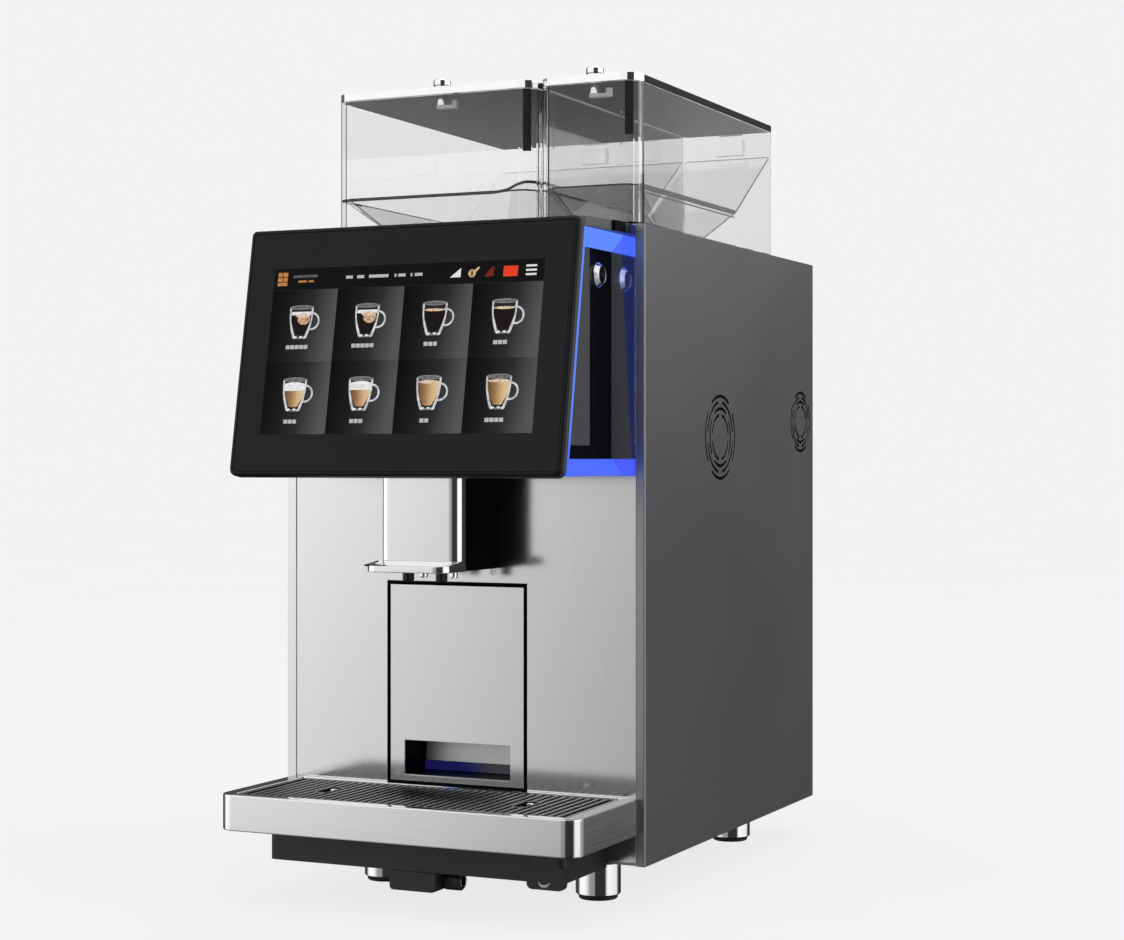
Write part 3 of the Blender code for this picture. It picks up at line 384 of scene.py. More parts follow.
def lit_look(name, low, high, scale=60):
    look = emitting_look(name, grey(0.01), 0.4, 0.02)
    look.colour(look.noise(scale), low, high, "Emission Color")
    return look.material


def tile_look():
    """Menu tiles, each dark on its left and paler on its right."""
    look = emitting_look("screen_tiles", grey(0.004), 0.35, 0.02)
    across = look.cell(look.axis("X"), -SCREEN_W / 2, TILE_W)
    up = look.cell(look.axis("Z"), SCREEN_LOW, TILE_H)
    tilted = look.maths("MULTIPLY_ADD", up, -0.16)
    look.link(across, tilted.inputs[2])
    bright = look.maths("ADD", tilted.outputs[0], 0.10)
    stops = [
        (0.0, (0.0018, 0.0018, 0.0022)), (0.30, (0.0075, 0.0075, 0.0085)),
        (0.62, (0.022, 0.022, 0.024)), (1.0, (0.086, 0.086, 0.091)),
    ]
    look.ramp(bright.outputs[0], stops, "Emission Color")
    return look.material


def latte_look():
    """Milk coffee in a lit glass: brown on the left, beige on the right."""
    look = emitting_look("screen_latte", grey(0.004), 0.35, 0.02)
    across = look.cell(look.axis("X"), -SCREEN_W / 2, TILE_W)
    grain = look.maths("MULTIPLY_ADD", look.noise(900), 0.12)
    look.link(across, grain.inputs[2])
    stops = [
        (0.41, (0.16, 0.078, 0.032)), (0.50, (0.32, 0.18, 0.080)),
        (0.60, (0.66, 0.43, 0.23)), (0.70, (0.74, 0.54, 0.32)),
    ]
    look.ramp(grain.outputs[0], stops, "Emission Color")
    return look.material


def painted_glow_look():
    """Polished steel inside the recess, tinted blue, with painted light: a faint grey glow, and a faint blue
    glow from the light guides toward its outer edge.
    """
    look = Look("recess_steel_painted_glow", Metallic=1.0, Emission_Strength=1.0)
    look.colour(look.noise(200), (0.46, 0.48, 0.88), (0.50, 0.52, 0.92))
    look.rough(look.noise(120), 0.06, 0.09)
    side = look.maths("ABSOLUTE", look.axis("X"), 0)
    slant = look.maths("MULTIPLY_ADD", look.axis("Z"), 0.055)
    look.link(side.outputs[0], slant.inputs[2])
    stops = [
        (0.0, (0.030, 0.029, 0.034)), (0.52, (0.036, 0.036, 0.043)),
        (0.60, (0.014, 0.019, 0.085)), (1.0, (0.012, 0.017, 0.090)),
    ]
    look.ramp(look.spread(slant.outputs[0], 0.1440, 0.1690), stops, "Emission Color")
    return look.material


def slot_painted_glow_look():
    """The back of the drawer's handle slot, with painted light: a faint blue glow from the left, grey toward
    the right.
    """
    look = emitting_look("slot_painted_glow", (0.003, 0.003, 0.004), 0.4, 0.05)
    stops = [
        (0.0, (0.008, 0.006, 0.070)), (0.42, (0.010, 0.008, 0.078)),
        (0.66, (0.038, 0.038, 0.046)), (1.0, (0.045, 0.045, 0.048)),
    ]
    look.ramp(look.spread(look.axis("X"), -0.047, 0.042), stops, "Emission Color")
    return look.material


def brass_look():
    look = Look("brass_fitting", Metallic=1.0)
    look.colour(look.noise(300), (0.60, 0.42, 0.18), (0.70, 0.50, 0.24))
    look.rough(look.noise(200), 0.22, 0.32)
    look.bump(look.noise(600), 0.05, 0.0001, 0.0003)
    return look.material


def board_look():
    look = Look("circuit_board", Roughness=0.4)
    look.colour(look.noise(160), (0.01, 0.12, 0.05), (0.02, 0.2, 0.08))
    look.bump(look.noise(500), 0.3, 0.0002)
    return look.material


PAINTED_GLOW_STEEL = painted_glow_look()
PAINTED_SLOT_GLOW = slot_painted_glow_look()
GRAPHITE = graphite_look("graphite_paint", 0.34, 0.37)
RAIL = graphite_look("rail_paint", 0.105, 0.120)
PANEL_STEEL = steel_look("panel_steel", 0.86, 0.88, 0.13, 0.15, (1, 1, 0.02))
DRAWER_STEEL = steel_look("drawer_steel", 0.84, 0.86, 0.15, 0.17, (1, 1, 0.02))
SPOUT_STEEL = steel_look("spout_steel", 0.88, 0.90, 0.10, 0.12, (1, 1, 0.02))
# Darker copies of the tray's steel for the rim's top and the tray's end faces: painted shade; the end faces
# are also rougher.
RIM_PAINTED_SHADE_STEEL = steel_look("tray_rim_steel_painted_shade", 0.19, 0.22, 0.16, 0.20, (1, 1, 1))
TRAY_END_PAINTED_SHADE_STEEL = steel_look("tray_end_steel_painted_shade", 0.42, 0.45, 0.36, 0.42, (1, 0.02, 1))
FLAP_STEEL = steel_look("flap_steel", 0.90, 0.94, 0.42, 0.50, (1, 1, 1))
TRAY_STEEL = steel_look("tray_steel", 0.84, 0.87, 0.10, 0.13, (0.02, 1, 1))
DULL_STEEL = steel_look("dull_steel", 0.50, 0.58, 0.28, 0.38, (1, 1, 0.05))
CHROME = chrome_look()
BLACK = plastic_look("black_plastic", (0.018, 0.018, 0.021), (0.022, 0.022, 0.026), 0.42, 0.50)
DEEP = plastic_look("deep_black", (0.001, 0.001, 0.0012), (0.0016, 0.0016, 0.0019), 0.26, 0.32, specular=0.07)
GRATE = steel_look("grate_metal", 0.15, 0.19, 0.22, 0.28, (1, 1, 1))
# Grey plastic; on the display's shell the grey is painted sheen for light on the display's sides.
GREY_WALL_AND_SHEEN = plastic_look("grey_wall_and_painted_sheen", (0.060, 0.060, 0.062), (0.070, 0.070, 0.072), 0.45, 0.55)
LID = plastic_look("lid_plastic", (0.030, 0.030, 0.031), (0.036, 0.036, 0.037), 0.44, 0.50, specular=0.13)
# Dark plastic for the chutes' rims, also used for dark strips on the hoppers' clear corners that are painted
# shade.
DARK_RIM_AND_SHADE = plastic_look("dark_rim_and_painted_shade", (0.020, 0.020, 0.023), (0.030, 0.030, 0.034), 0.30, 0.36, specular=0.3)
WHITE = plastic_look("white_plastic", (0.66, 0.66, 0.64), (0.74, 0.74, 0.72), 0.40, 0.50)
RUBBER = plastic_look("rubber_pad", grey(0.014), grey(0.022), 0.7, 0.85, 1200, 0.3)
BRASS = brass_look()
GLOSS = gloss_look()
CLEAR = clear_look()
TINTED = tinted_look()
LIGHT = light_look()
BOARD = board_look()
CAST = steel_look("cast_aluminium", 0.42, 0.52, 0.35, 0.5, (1, 1, 1))

SCREEN_LOOKS = {
    key: lit_look(f"screen_{key}", low, high, scale)
    for key, low, high, scale in (
        ("bar", (0.0006, 0.0006, 0.0007), (0.0012, 0.0012, 0.0014), 60),
        ("white", grey(0.62), grey(0.85), 900),
        ("caption", grey(0.16), grey(0.78), 1500),
        ("glass", (0.36, 0.36, 0.37), (0.78, 0.78, 0.80), 260),
        ("glass_dim", (0.14, 0.14, 0.15), (0.26, 0.26, 0.27), 260),
        ("shade", (0.006, 0.006, 0.007), (0.030, 0.030, 0.032), 260),
        ("rim", (0.05, 0.05, 0.052), (0.20, 0.20, 0.21), 380),
        ("coffee", (0.0015, 0.0010, 0.0010), (0.010, 0.006, 0.005), 300),
        ("crema", (0.22, 0.075, 0.028), (0.80, 0.58, 0.38), 620),
        ("surface", (0.45, 0.27, 0.14), (0.86, 0.74, 0.58), 420),
        ("foam", (0.62, 0.62, 0.61), grey(0.92), 300),
        ("red", (0.72, 0.040, 0.010), (0.78, 0.055, 0.015), 200),
        ("dark_red", (0.10, 0.010, 0.006), (0.22, 0.020, 0.012), 500),
        ("beige", (0.42, 0.28, 0.14), (0.72, 0.52, 0.30), 700),
        ("amber", (0.30, 0.10, 0.02), (0.66, 0.30, 0.10), 900),
        ("dim", (0.03, 0.03, 0.032), (0.16, 0.16, 0.17), 900),
    )
}
SCREEN_LOOKS.update(tiles=tile_look(), latte=latte_look(), dark=SCREEN_LOOKS["coffee"])

NODE_LOOKS = (
    (GRAPHITE, "side_panel_right side_panel_left top_plate rear_panel"),
    (PANEL_STEEL, "front_panel lower_front_plate"), (CAST, "base_plate grinder_housing power_supply"),
    (BLACK, "power_inlet power_button tray_support drain_block grounds_bin fan_frame_front fan_frame_rear"),
    (BLACK, "fan_rotor_front fan_rotor_rear coffee_nozzle_left coffee_nozzle_right"),
    (CHROME, "button_bezel guide_rods lid_trim_left lid_trim_right lid_lock_left lid_lock_right"),
    (CHROME, "grinder_burr milk_nozzle_left milk_nozzle_right foot_front_right foot_front_left"),
    (CHROME, "foot_rear_right foot_rear_left"), (GLOSS, "display_bezel display_glass display_screen"),
    (LIGHT, "light_guide_right light_guide_left"), (DEEP, "head_housing spout_body drawer_sleeve handle_box"),
    (RAIL, "head_cover"), (CLEAR, "funnel_left funnel_right hopper_left hopper_right"),
    (LID, "lid_left lid_right"), (SPOUT_STEEL, "spout_cover"), (TRAY_STEEL, "drip_tray"),
    (GRATE, "drip_grate"), (DRAWER_STEEL, "drawer_front"), (FLAP_STEEL, "handle_flap"),
    (WHITE, "brew_cylinder brew_piston"), (DULL_STEEL, "boiler"), (BRASS, "water_inlet water_pump"),
    (BOARD, "control_board"),
)


def dress_nodes():
    """Gives each CAD node its look."""
    for look, names in NODE_LOOKS:
        for name in names.split():
            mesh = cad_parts[name].data
            mesh.materials.clear()
            mesh.materials.append(look)
            mesh.shade_smooth()
            mesh.set_sharp_from_angle(angle=SHARP)


# ---- stage


def make_camera():
    """A level camera that looks at the machine from its front right."""
    data = bpy.data.cameras.new("camera")
    data.sensor_width = 36
    data.lens = 70.97
    data.shift_y = -0.0089
    data.clip_start = 0.05
    camera = bpy.data.objects.new("camera", data)
    camera.location = (0.7666, FRONT - 1.472, 0.3243)
    camera.rotation_euler = (radians(90), 0, radians(24.87))
    bpy.context.scene.collection.objects.link(camera)
    bpy.context.scene.camera = camera


# Brightness of the studio around the machine, by azimuth in degrees from the front, positive to the right:
# level with it and above it
STUDIO = (
    (-180, 0.10), (-155, 0.07), (-96, 0.07), (-84, 1.00), (-74, 1.45), (-48, 1.35), (-38, 1.10),
    (-32, 0.98), (-27, 0.74), (-23, 0.50), (-12, 0.40), (4, 0.38), (9, 0.04), (60, 0.04), (67, 0.95),
    (76, 1.35), (130, 1.10), (140, 0.30), (151, 0.03), (180, 0.03),
)
STUDIO_UP = (
    (-180, 0.16), (-155, 0.12), (-96, 0.12), (-84, 0.95), (-74, 1.05), (-12, 1.02), (4, 0.95), (9, 0.04),
    (60, 0.04), (67, 0.95), (76, 1.30), (132, 1.00), (150, 0.30), (180, 0.16),
)
# Brightness by height, as the upward part of the direction from -1 to 1 brought to 0 to 1
STUDIO_SHADE = ((0.0, 0.12), (0.25, 0.28), (0.36, 0.56), (0.41, 0.78), (0.45, 0.84), (0.50, 1.0))
STUDIO_RISE = ((0.535, 0.0), (0.575, 1.0))
STUDIO_ROOF = ((0.62, 0.0), (0.85, 1.0))
ROOF_COLOUR = (0.85, 0.85, 0.86, 1)
BACKDROP = (0.895, 0.895, 0.895, 1)
FLOOR_R = 12


def seen_directly(tree):
    """1 for what the eye sees, straight or through clear plastic; 0 for light and reflections."""
    path = node_of(tree, "ShaderNodeLightPath")
    either = node_of(tree, "ShaderNodeMath", operation="MAXIMUM")
    tree.links.new(path.outputs["Is Camera Ray"], either.inputs[0])
    tree.links.new(path.outputs["Is Transmission Ray"], either.inputs[1])
    return either.outputs[0]


def grey_stops(stops):
    return [(place, grey(value)) for place, value in stops]


def around_stops(stops):
    return [((degrees + 180) / 360, grey(value)) for degrees, value in stops]


def mixed(tree, factor, first, second, blend="MIX"):
    """Two colours mixed by a factor; factor and second are sockets or constants."""
    node = node_of(tree, "ShaderNodeMix", data_type="RGBA", blend_type=blend)
    tree.links.new(first, node.inputs[6])
    for value, socket in ((factor, node.inputs["Factor"]), (second, node.inputs[7])):
        if isinstance(value, bpy.types.NodeSocket):
            tree.links.new(value, socket)
        else:
            socket.default_value = value
    return node.outputs[2]


def make_world():
    """Pale to the eye; light and reflections come from soft boxes around the machine and above it."""
    world = bpy.data.worlds.new("studio")
    world.use_nodes = True
    tree = world.node_tree
    links = tree.links
    coords = node_of(tree, "ShaderNodeTexCoord")
    split = node_of(tree, "ShaderNodeSeparateXYZ")
    links.new(coords.outputs["Generated"], split.inputs["Vector"])
    flip = node_of(tree, "ShaderNodeMath", operation="MULTIPLY")
    flip.inputs[1].default_value = -1
    links.new(split.outputs["Y"], flip.inputs[0])
    angle = node_of(tree, "ShaderNodeMath", operation="ARCTAN2")
    links.new(split.outputs["X"], angle.inputs[0])
    links.new(flip.outputs[0], angle.inputs[1])
    around = node_of(tree, "ShaderNodeMapRange", From_Min=-pi, From_Max=pi)
    links.new(angle.outputs[0], around.inputs["Value"])
    level, upper = (ramp_of(tree, around.outputs[0], around_stops(each)) for each in (STUDIO, STUDIO_UP))
    height = node_of(tree, "ShaderNodeMapRange", From_Min=-1, From_Max=1)
    links.new(split.outputs["Z"], height.inputs["Value"])
    shade, rise, above = (
        ramp_of(tree, height.outputs[0], grey_stops(each))
        for each in (STUDIO_SHADE, STUDIO_RISE, STUDIO_ROOF)
    )
    sides = mixed(tree, 1.0, mixed(tree, rise, level, upper), shade, "MULTIPLY")
    roof = mixed(tree, above, sides, ROOF_COLOUR)
    seen = mixed(tree, seen_directly(tree), roof, BACKDROP)
    links.new(seen, tree.nodes["Background"].inputs["Color"])
    bpy.context.scene.world = world


def make_floor():
    bm = bmesh.new()
    bm.faces.new([bm.verts.new((x, y, 0)) for x, y in circle(0, 0, FLOOR_R, 96)])
    mesh = bpy.data.meshes.new("floor")
    bm.to_mesh(mesh)
    bm.free()
    look = Look("floor_pale", Roughness=1.0, Specular_IOR_Level=0.0)
    look.colour(look.noise(3), grey(0.115), grey(0.125))
    strength = node_of(look.tree, "ShaderNodeMapRange", To_Min=0.30, To_Max=0.80)
    look.link(seen_directly(look.tree), strength.inputs["Value"])
    look.link(strength.outputs["Result"], look.shader.inputs["Emission Strength"])
    look.shader.inputs["Emission Color"].default_value = (1, 1, 1, 1)
    mesh.materials.append(look.material)
    floor = bpy.data.objects.new("floor", mesh)
    bpy.context.scene.collection.objects.link(floor)
    floor.visible_glossy = False
    floor.visible_diffuse = False


def area_light(name, place, target, size, power):
    data = bpy.data.lights.new(name, "AREA")
    data.shape = "RECTANGLE"
    data.size, data.size_y = size
    data.energy = power
    light = bpy.data.objects.new(name, data)
    light.location = place
    light.visible_camera = False
    light.rotation_euler = (Vector(target) - Vector(place)).to_track_quat("-Z", "Y").to_euler()
    bpy.context.scene.collection.objects.link(light)


def make_lights():
    """A broad soft light overhead, and a smaller one behind on the right that shades the side panel."""
    area_light("side_soft", (2.10, 1.95, 1.25), (0.15, -0.1, 0.45), (0.7, 0.7), 4.2)
    area_light("top_soft", (0.2, -0.3, 2.4), (0, 0, 0.3), (1.8, 1.8), 10)


# ---- display


SLAB = Matrix.Translation(DISPLAY_FOOT) @ Matrix.Rotation(-TILT, 4, "X")


def slab_piece(name, bm, material, replaces=()):
    """A piece made in the display's own frame: X across, Y into it, Z up along it."""
    piece(name, bm, material, "cabinet", replaces, place=SLAB)


def slab_outline(inset, depth):
    """The display's outline at a depth, drawn in by the inset; its upper corners are a little sharper."""
    x, low, high, least = DISPLAY_X - inset, inset, DISPLAY_LONG - inset, 0.001
    points = rounded(-x, x, low, high, max(0.0055 - inset, least), max(0.0040 - inset, least), 6)
    return [(px, depth, s) for px, s in points]


def make_display():
    frame_stages = (
        (0.0030, 0.0012), (0.0030, 0.0001), (0.0024, 0.0), (0.0010, 0.0004), (0.0003, 0.0012), (0.0, 0.0022),
        (0.0, 0.0032), (0.0006, 0.0035),
    )
    shell_stages = ((0.0006, 0.0037), (0.0, 0.0040), (0.0, 0.0088), (0.0012, 0.0100))
    glass_stages = ((0.0034, 0.0011), (0.0034, 0.0002), (0.0036, 0.0))
    for name, stages, look, nodes in (
        ("display_frame", frame_stages, GLOSS, ["display_bezel"]),
        # The grey shell stands in for light on the display's sides: painted sheen.
        ("display_shell_painted_sheen", shell_stages, GREY_WALL_AND_SHEEN, []),
        ("display_front_glass", glass_stages, GLOSS, ["display_glass"]),
    ):
        slab_piece(name, loft([slab_outline(*stage) for stage in stages]), look, nodes)


class Screen:
    """Flat pictures on the display, in millimetres: each colour is one piece made of thin closed plates."""

    def __init__(self):
        self.plates = {}

    def add(self, key, outline, layer=1):
        """An outline in millimetres from the screen's top left corner, x to the right and y down."""
        points = [(-SCREEN_W / 2 + x / 1000, SCREEN_LOW + SCREEN_H - y / 1000) for x, y in outline]
        bm = self.plates.setdefault(key, bmesh.new())
        prism(points, "Y", -0.00003 * layer - 0.00002, -0.00003 * layer + 0.00009, bm)

    def bar(self, key, x, y, width, height, layer=1):
        self.add(key, [(x, y), (x + width, y), (x + width, y + height), (x, y + height)], layer)

    def band(self, key, outer, inner, layer=1):
        """The strip between two outlines with the same number of points, which are open lines."""
        self.add(key, list(outer) + list(inner)[::-1], layer)


CUP_FOOT = 2.2  # radius of the glass's lower corner


def half_width(y, top, bottom, half_top, half_low):
    """Half the width of a tapering glass at a height."""
    t = min(max((y - top) / (bottom - CUP_FOOT - top), 0), 1)
    return half_top + (half_low - half_top) * t ** 2.4


def cup_side(x, top, bottom, half_top, half_low, steps=10):
    """Both sides of a tapering glass, from its rim down to the middle of its bottom."""
    points = []
    for i in range(steps + 1):
        y = top + (bottom - CUP_FOOT - top) * i / steps
        points.append((half_width(y, top, bottom, half_top, half_low), y))
    points += arc(half_low - CUP_FOOT, bottom - CUP_FOOT, CUP_FOOT, 0, pi / 2, 4)[1:]
    return [(x + dx, y) for dx, y in points], [(x - dx, y) for dx, y in points]


def closed_cup(x, top, bottom, half_top, half_low):
    right, left = cup_side(x, top, bottom, half_top, half_low)
    return left + right[::-1]


def ellipse(cx, cy, rx, ry, steps=20):
    return [(cx + rx * cos(a), cy + ry * sin(a)) for a in (2 * pi * i / steps for i in range(steps))]


def draw_cup(screen, x0, y0, kind):
    """A glass mug of coffee in the tile whose top left corner is at x0, y0."""
    x, top, bottom = x0 + 26.2, y0 + 13.2, y0 + 36.6
    hand_x, hand_y = x + 9.2, y0 + 23.6
    outer, inner = (
        [(x + 7.5, hand_y - r)] + arc(hand_x, hand_y, r, -pi / 2, pi / 2, 14) + [(x + 6.5, hand_y + r)]
        for r in (6.6, 5.2)
    )
    screen.band("glass", outer, inner, 2)
    screen.add("glass_dim", closed_cup(x, top, bottom, 9.9, 6.3), 1)
    screen.add("shade", closed_cup(x, top + 0.6, bottom - 1.3, 8.9, 5.3), 2)
    rim_outer, rim_inner = ellipse(x, top, 9.9, 1.7), ellipse(x, top + 0.1, 8.6, 0.9)
    right, left = cup_side(x, top, bottom, 9.9, 6.3)
    inner_right, inner_left = cup_side(x, top, bottom - 1.2, 8.4, 4.7)
    screen.band("glass", right, inner_right, 3)
    screen.band("glass", left, inner_left, 3)
    screen.add("glass_dim", rim_outer, 4)
    screen.add("rim", rim_inner, 5)
    level = {"espresso": 4.9, "crema": 5.4, "foam": 3.0, "latte": 3.2}[kind]
    fill_top, fill_low = top + level, bottom - 3.2
    half = half_width(fill_top, top, bottom, 8.6, 5.0)
    body = closed_cup(x, fill_top, fill_low, half, 4.3)
    screen.add("latte" if kind in ("foam", "latte") else "coffee", body, 4)
    if kind == "espresso":
        screen.add("surface", ellipse(x, fill_top, half - 0.3, 1.0), 5)
    if kind == "crema":
        screen.bar("foam", x - half + 0.4, fill_top - 2.2, 2 * half - 0.8, 2.4, 5)
        screen.add("crema", ellipse(x + 2.4, fill_top + 3.2, half - 3.2, 4.4), 5)
        screen.add("surface", ellipse(x + 1.6, fill_top + 0.8, half - 2.2, 1.5), 6)
    if kind == "foam":
        screen.add("foam", ellipse(x, fill_top + 0.6, half, 1.7), 5)
        screen.bar("foam", x - half, fill_top + 0.6, 2 * half, 4.6, 5)
    if kind == "latte":
        screen.add("surface", ellipse(x, fill_top, half - 0.2, 1.3), 5)
    for dx in (-3.6, 1.2):
        screen.add("foam", ellipse(x + dx, bottom - 1.4, 1.5, 0.7, 10), 5)


def draw_caption(screen, x, y, glyphs):
    for i in range(glyphs):
        screen.bar("caption", x + 3.75 * i, y, 3.2, 2.9, 1)


def draw_bar_icons(screen):
    middle = BAR_H * 500
    for i in range(3):
        screen.bar("white", 205.5, middle - 3.9 + 3.1 * i, 8.4, 1.4)
    screen.bar("red", 188.0, middle - 3.6, 11.2, 7.6)
    flame = (
        (173.5, 3.6), (176.0, -0.6), (179.5, -3.6), (181.5, -2.4), (180.0, 0.8), (181.0, 3.2), (177.0, 3.8),
    )
    handle = ((164.6, -0.9), (168.2, -3.9), (169.4, -3.2), (166.2, 0.4))
    wedge = ((146.0, 3.3), (154.4, -3.4), (154.4, 3.3))
    screen.add("dark_red", [(x, middle + y) for x, y in flame])
    screen.add("beige", ellipse(163.4, middle + 0.8, 3.0, 2.9, 16))
    screen.add("beige", [(x, middle + y) for x, y in handle], 2)
    screen.add("dark", ellipse(163.4, middle + 0.8, 0.7, 2.2, 10), 3)
    screen.add("white", [(x, middle + y) for x, y in wedge])
    badge = (
        (3.4, -5.2, 3.4, 3.2), (7.4, -5.2, 4.2, 3.2), (3.4, -1.4, 4.2, 3.0), (8.2, -1.4, 3.4, 3.0),
        (3.4, 2.2, 8.2, 2.6),
    )
    for x, y, w, h in badge:
        screen.bar("amber", x, middle + y, w, h)
    screen.bar("dim", 16.4, middle - 2.9, 20.5, 2.0)
    screen.bar("amber", 21.0, middle + 1.2, 7.0, 1.5)
    screen.bar("amber", 29.6, middle + 1.2, 4.4, 1.5)
    marks = ((61.0, 5.6), (70.2, 5.8), (80.0, 16.0), (101.0, 1.6), (104.0, 6.0), (114.0, 1.6), (117.5, 6.2))
    for x, w in marks:
        screen.bar("caption", x, middle - 1.1, w, 2.2)


def make_screen():
    screen = Screen()
    width, height = SCREEN_W * 1000, SCREEN_H * 1000
    screen.bar("tiles", 0.3, BAR_H * 1000, width - 0.6, height - BAR_H * 1000 - 0.3, 0)
    screen.bar("bar", 0.3, 0.3, width - 0.6, BAR_H * 1000 - 0.7, 0)
    draw_bar_icons(screen)
    rows = (("crema", "crema", "espresso", "espresso"), ("foam", "foam", "latte", "latte"))
    glyphs = ((5, 5, 3, 3), (3, 3, 2, 4))
    for r, row in enumerate(rows):
        for c, kind in enumerate(row):
            x0, y0 = c * TILE_W * 1000, BAR_H * 1000 + r * TILE_H * 1000
            draw_cup(screen, x0, y0, kind)
            count = glyphs[r][c]
            draw_caption(screen, x0 + 25.0 - 1.9 * count, y0 + 41.2 + 1.4 * r, count)
    for key, bm in screen.plates.items():
        nodes, slot = (["display_screen"], "screen") if key == "tiles" else ((), None)
        slab_piece(f"screen_{key}", bm, SCREEN_LOOKS[key], nodes)


# ---- head


def back_y(z, behind=0.0):
    """Where the slanted display's back is at a height, or a plane that far behind it."""
    return DISPLAY_FOOT.y + (z - DISPLAY_FOOT.z) * tan(TILT) + (DISPLAY_THICK + behind) / cos(TILT)


def side_plate(side, y0, y1, z0, z1, x0, x1):
    """A block on one side of the machine; x0 and x1 are distances from its middle."""
    return prism([(y0, z0), (y1, z0), (y1, z1), (y0, z1)], "X", side * x0, side * x1)


def make_head():
    """Raised grey plates beside the head, the button in its ring, the recess with its painted glow and the
    cover's ends.
    """
    low, high, edge = HEAD_LOW + 0.0215, HEAD_HIGH - 0.0125, FRONT - 0.0415
    for side, name in SIDES:
        outline = [(back_y(low, 0.0031), low), (edge, low), (edge, high), (back_y(high, 0.0031), high)]
        plate = prism(outline, "X", side * (HEAD_X + 0.0001), side * (HEAD_X + 0.0016))
        piece(f"head_plate_{name}", plate, GREY_WALL_AND_SHEEN, "cabinet", bevel=0.0005)
    ring = [(0.0061, -0.0050), (0.0068, -0.0050), (0.0068, 0.0003), (0.0092, 0.0003), (0.0092, 0.0006)]
    ring += [(0.0090, 0.0009), (0.0066, 0.0034), (0.0063, 0.0036), (0.0061, 0.0034)]
    cap = [(0, -0.0050), (0.0058, -0.0050), (0.0058, 0.0022), (0.0052, 0.0030), (0.0030, 0.0034), (0, 0.0035)]
    dot = [(0, 0.0030), (0.0011, 0.0030), (0.0011, 0.0038), (0, 0.0040)]
    ring, cap, dot = ([(radius, HEAD_X + out) for radius, out in each] for each in (ring, cap, dot))
    piece("button_ring", turned(ring, "X", BUTTON, 64, True), CHROME, "cabinet", ["button_bezel"])
    low, high = HEAD_LOW - 0.0002, BODY_TOP - 0.0002
    # The recess plates glow grey and blue: painted light, they are not lamps.
    for side, name in SIDES:
        glow = side_plate(side, FRONT - 0.0009, FRONT - 0.0003, low, high, HEAD_X + 0.0004, 0.1430)
        piece(f"recess_mirror_painted_glow_{name}", glow, PAINTED_GLOW_STEEL, "cabinet")
    edge = block(-PANEL_X, -0.1424, FRONT - 0.0007, FRONT - 0.0001, 0.0315, BODY_TOP)
    piece("front_edge_left", edge, PANEL_STEEL, "cabinet")
    piece("button_cap", turned(cap, "X", BUTTON, 48), DEEP, "power_button", ["power_button"])
    piece("button_mark", turned(dot, "X", BUTTON, 24), BLACK, "power_button")
    low, high = HEAD_HIGH + 0.0006, BODY_TOP + 0.0003
    for side, name in SIDES:
        notch = side_plate(side, FRONT - 0.0290, FRONT - 0.0100, low, high, 0.1290, 0.1394)
        piece(f"cover_notch_{name}", notch, DEEP, "cabinet")
        end = side_plate(side, FRONT - 0.0097, FRONT - 0.0003, low, high, 0.1285, 0.1392)
        piece(f"cover_end_{name}", end, RAIL, "cabinet", bevel=0.0004)


# ---- spout


def make_spout():
    """The spout's polished front with its projecting lip, and a dark patch on the lip's left."""
    def outline(front, half, corner, z):
        return level(rounded(SPOUT_X - half, SPOUT_X + half, front, SPOUT_SPLIT, corner, 0.0004, 12), z)

    lip, shaft = LIP_HALF, SPOUT_HALF
    stages = [
        (LIP_FRONT + 0.0006, lip - 0.0006, 0.0096, LIP_LOW), (LIP_FRONT, lip, 0.0100, LIP_LOW + 0.0004),
        (LIP_FRONT, lip, 0.0100, LIP_TOP - 0.0008),
        (LIP_FRONT + 0.0002, lip - 0.0001, 0.0098, LIP_TOP - 0.0003),
        (LIP_FRONT + 0.0009, lip - 0.0004, 0.0094, LIP_TOP), (SPOUT_FRONT, shaft, 0.0080, SHAFT_FOOT),
        (SPOUT_FRONT, shaft, 0.0080, SHAFT_TOP - 0.0010),
        (SPOUT_FRONT + 0.0004, shaft - 0.0004, 0.0078, SHAFT_TOP),
    ]
    piece("spout_front", loft([outline(*stage) for stage in stages]), SPOUT_STEEL, "spout", ["spout_cover"])
    left, front, back, reach = SPOUT_X - lip + 0.0012, LIP_FRONT + 0.0012, SPOUT_FRONT - 0.0006, 0.018
    dark_patch = [(left, front)]
    for i in range(9):
        a = pi / 16 * i
        dark_patch.append((left + reach * (1 - sin(a)), front + (back - front) * (1 - cos(a))))
    rise = (SHAFT_FOOT - LIP_TOP) / (SPOUT_FRONT - LIP_FRONT)
    sections = [[(x, y, LIP_TOP + rise * (y - LIP_FRONT) + dz) for x, y in dark_patch] for dz in (-0.0010, 0.0002)]
    piece("lip_dark_patch", loft(sections), DEEP, "spout")


# ---- drip tray


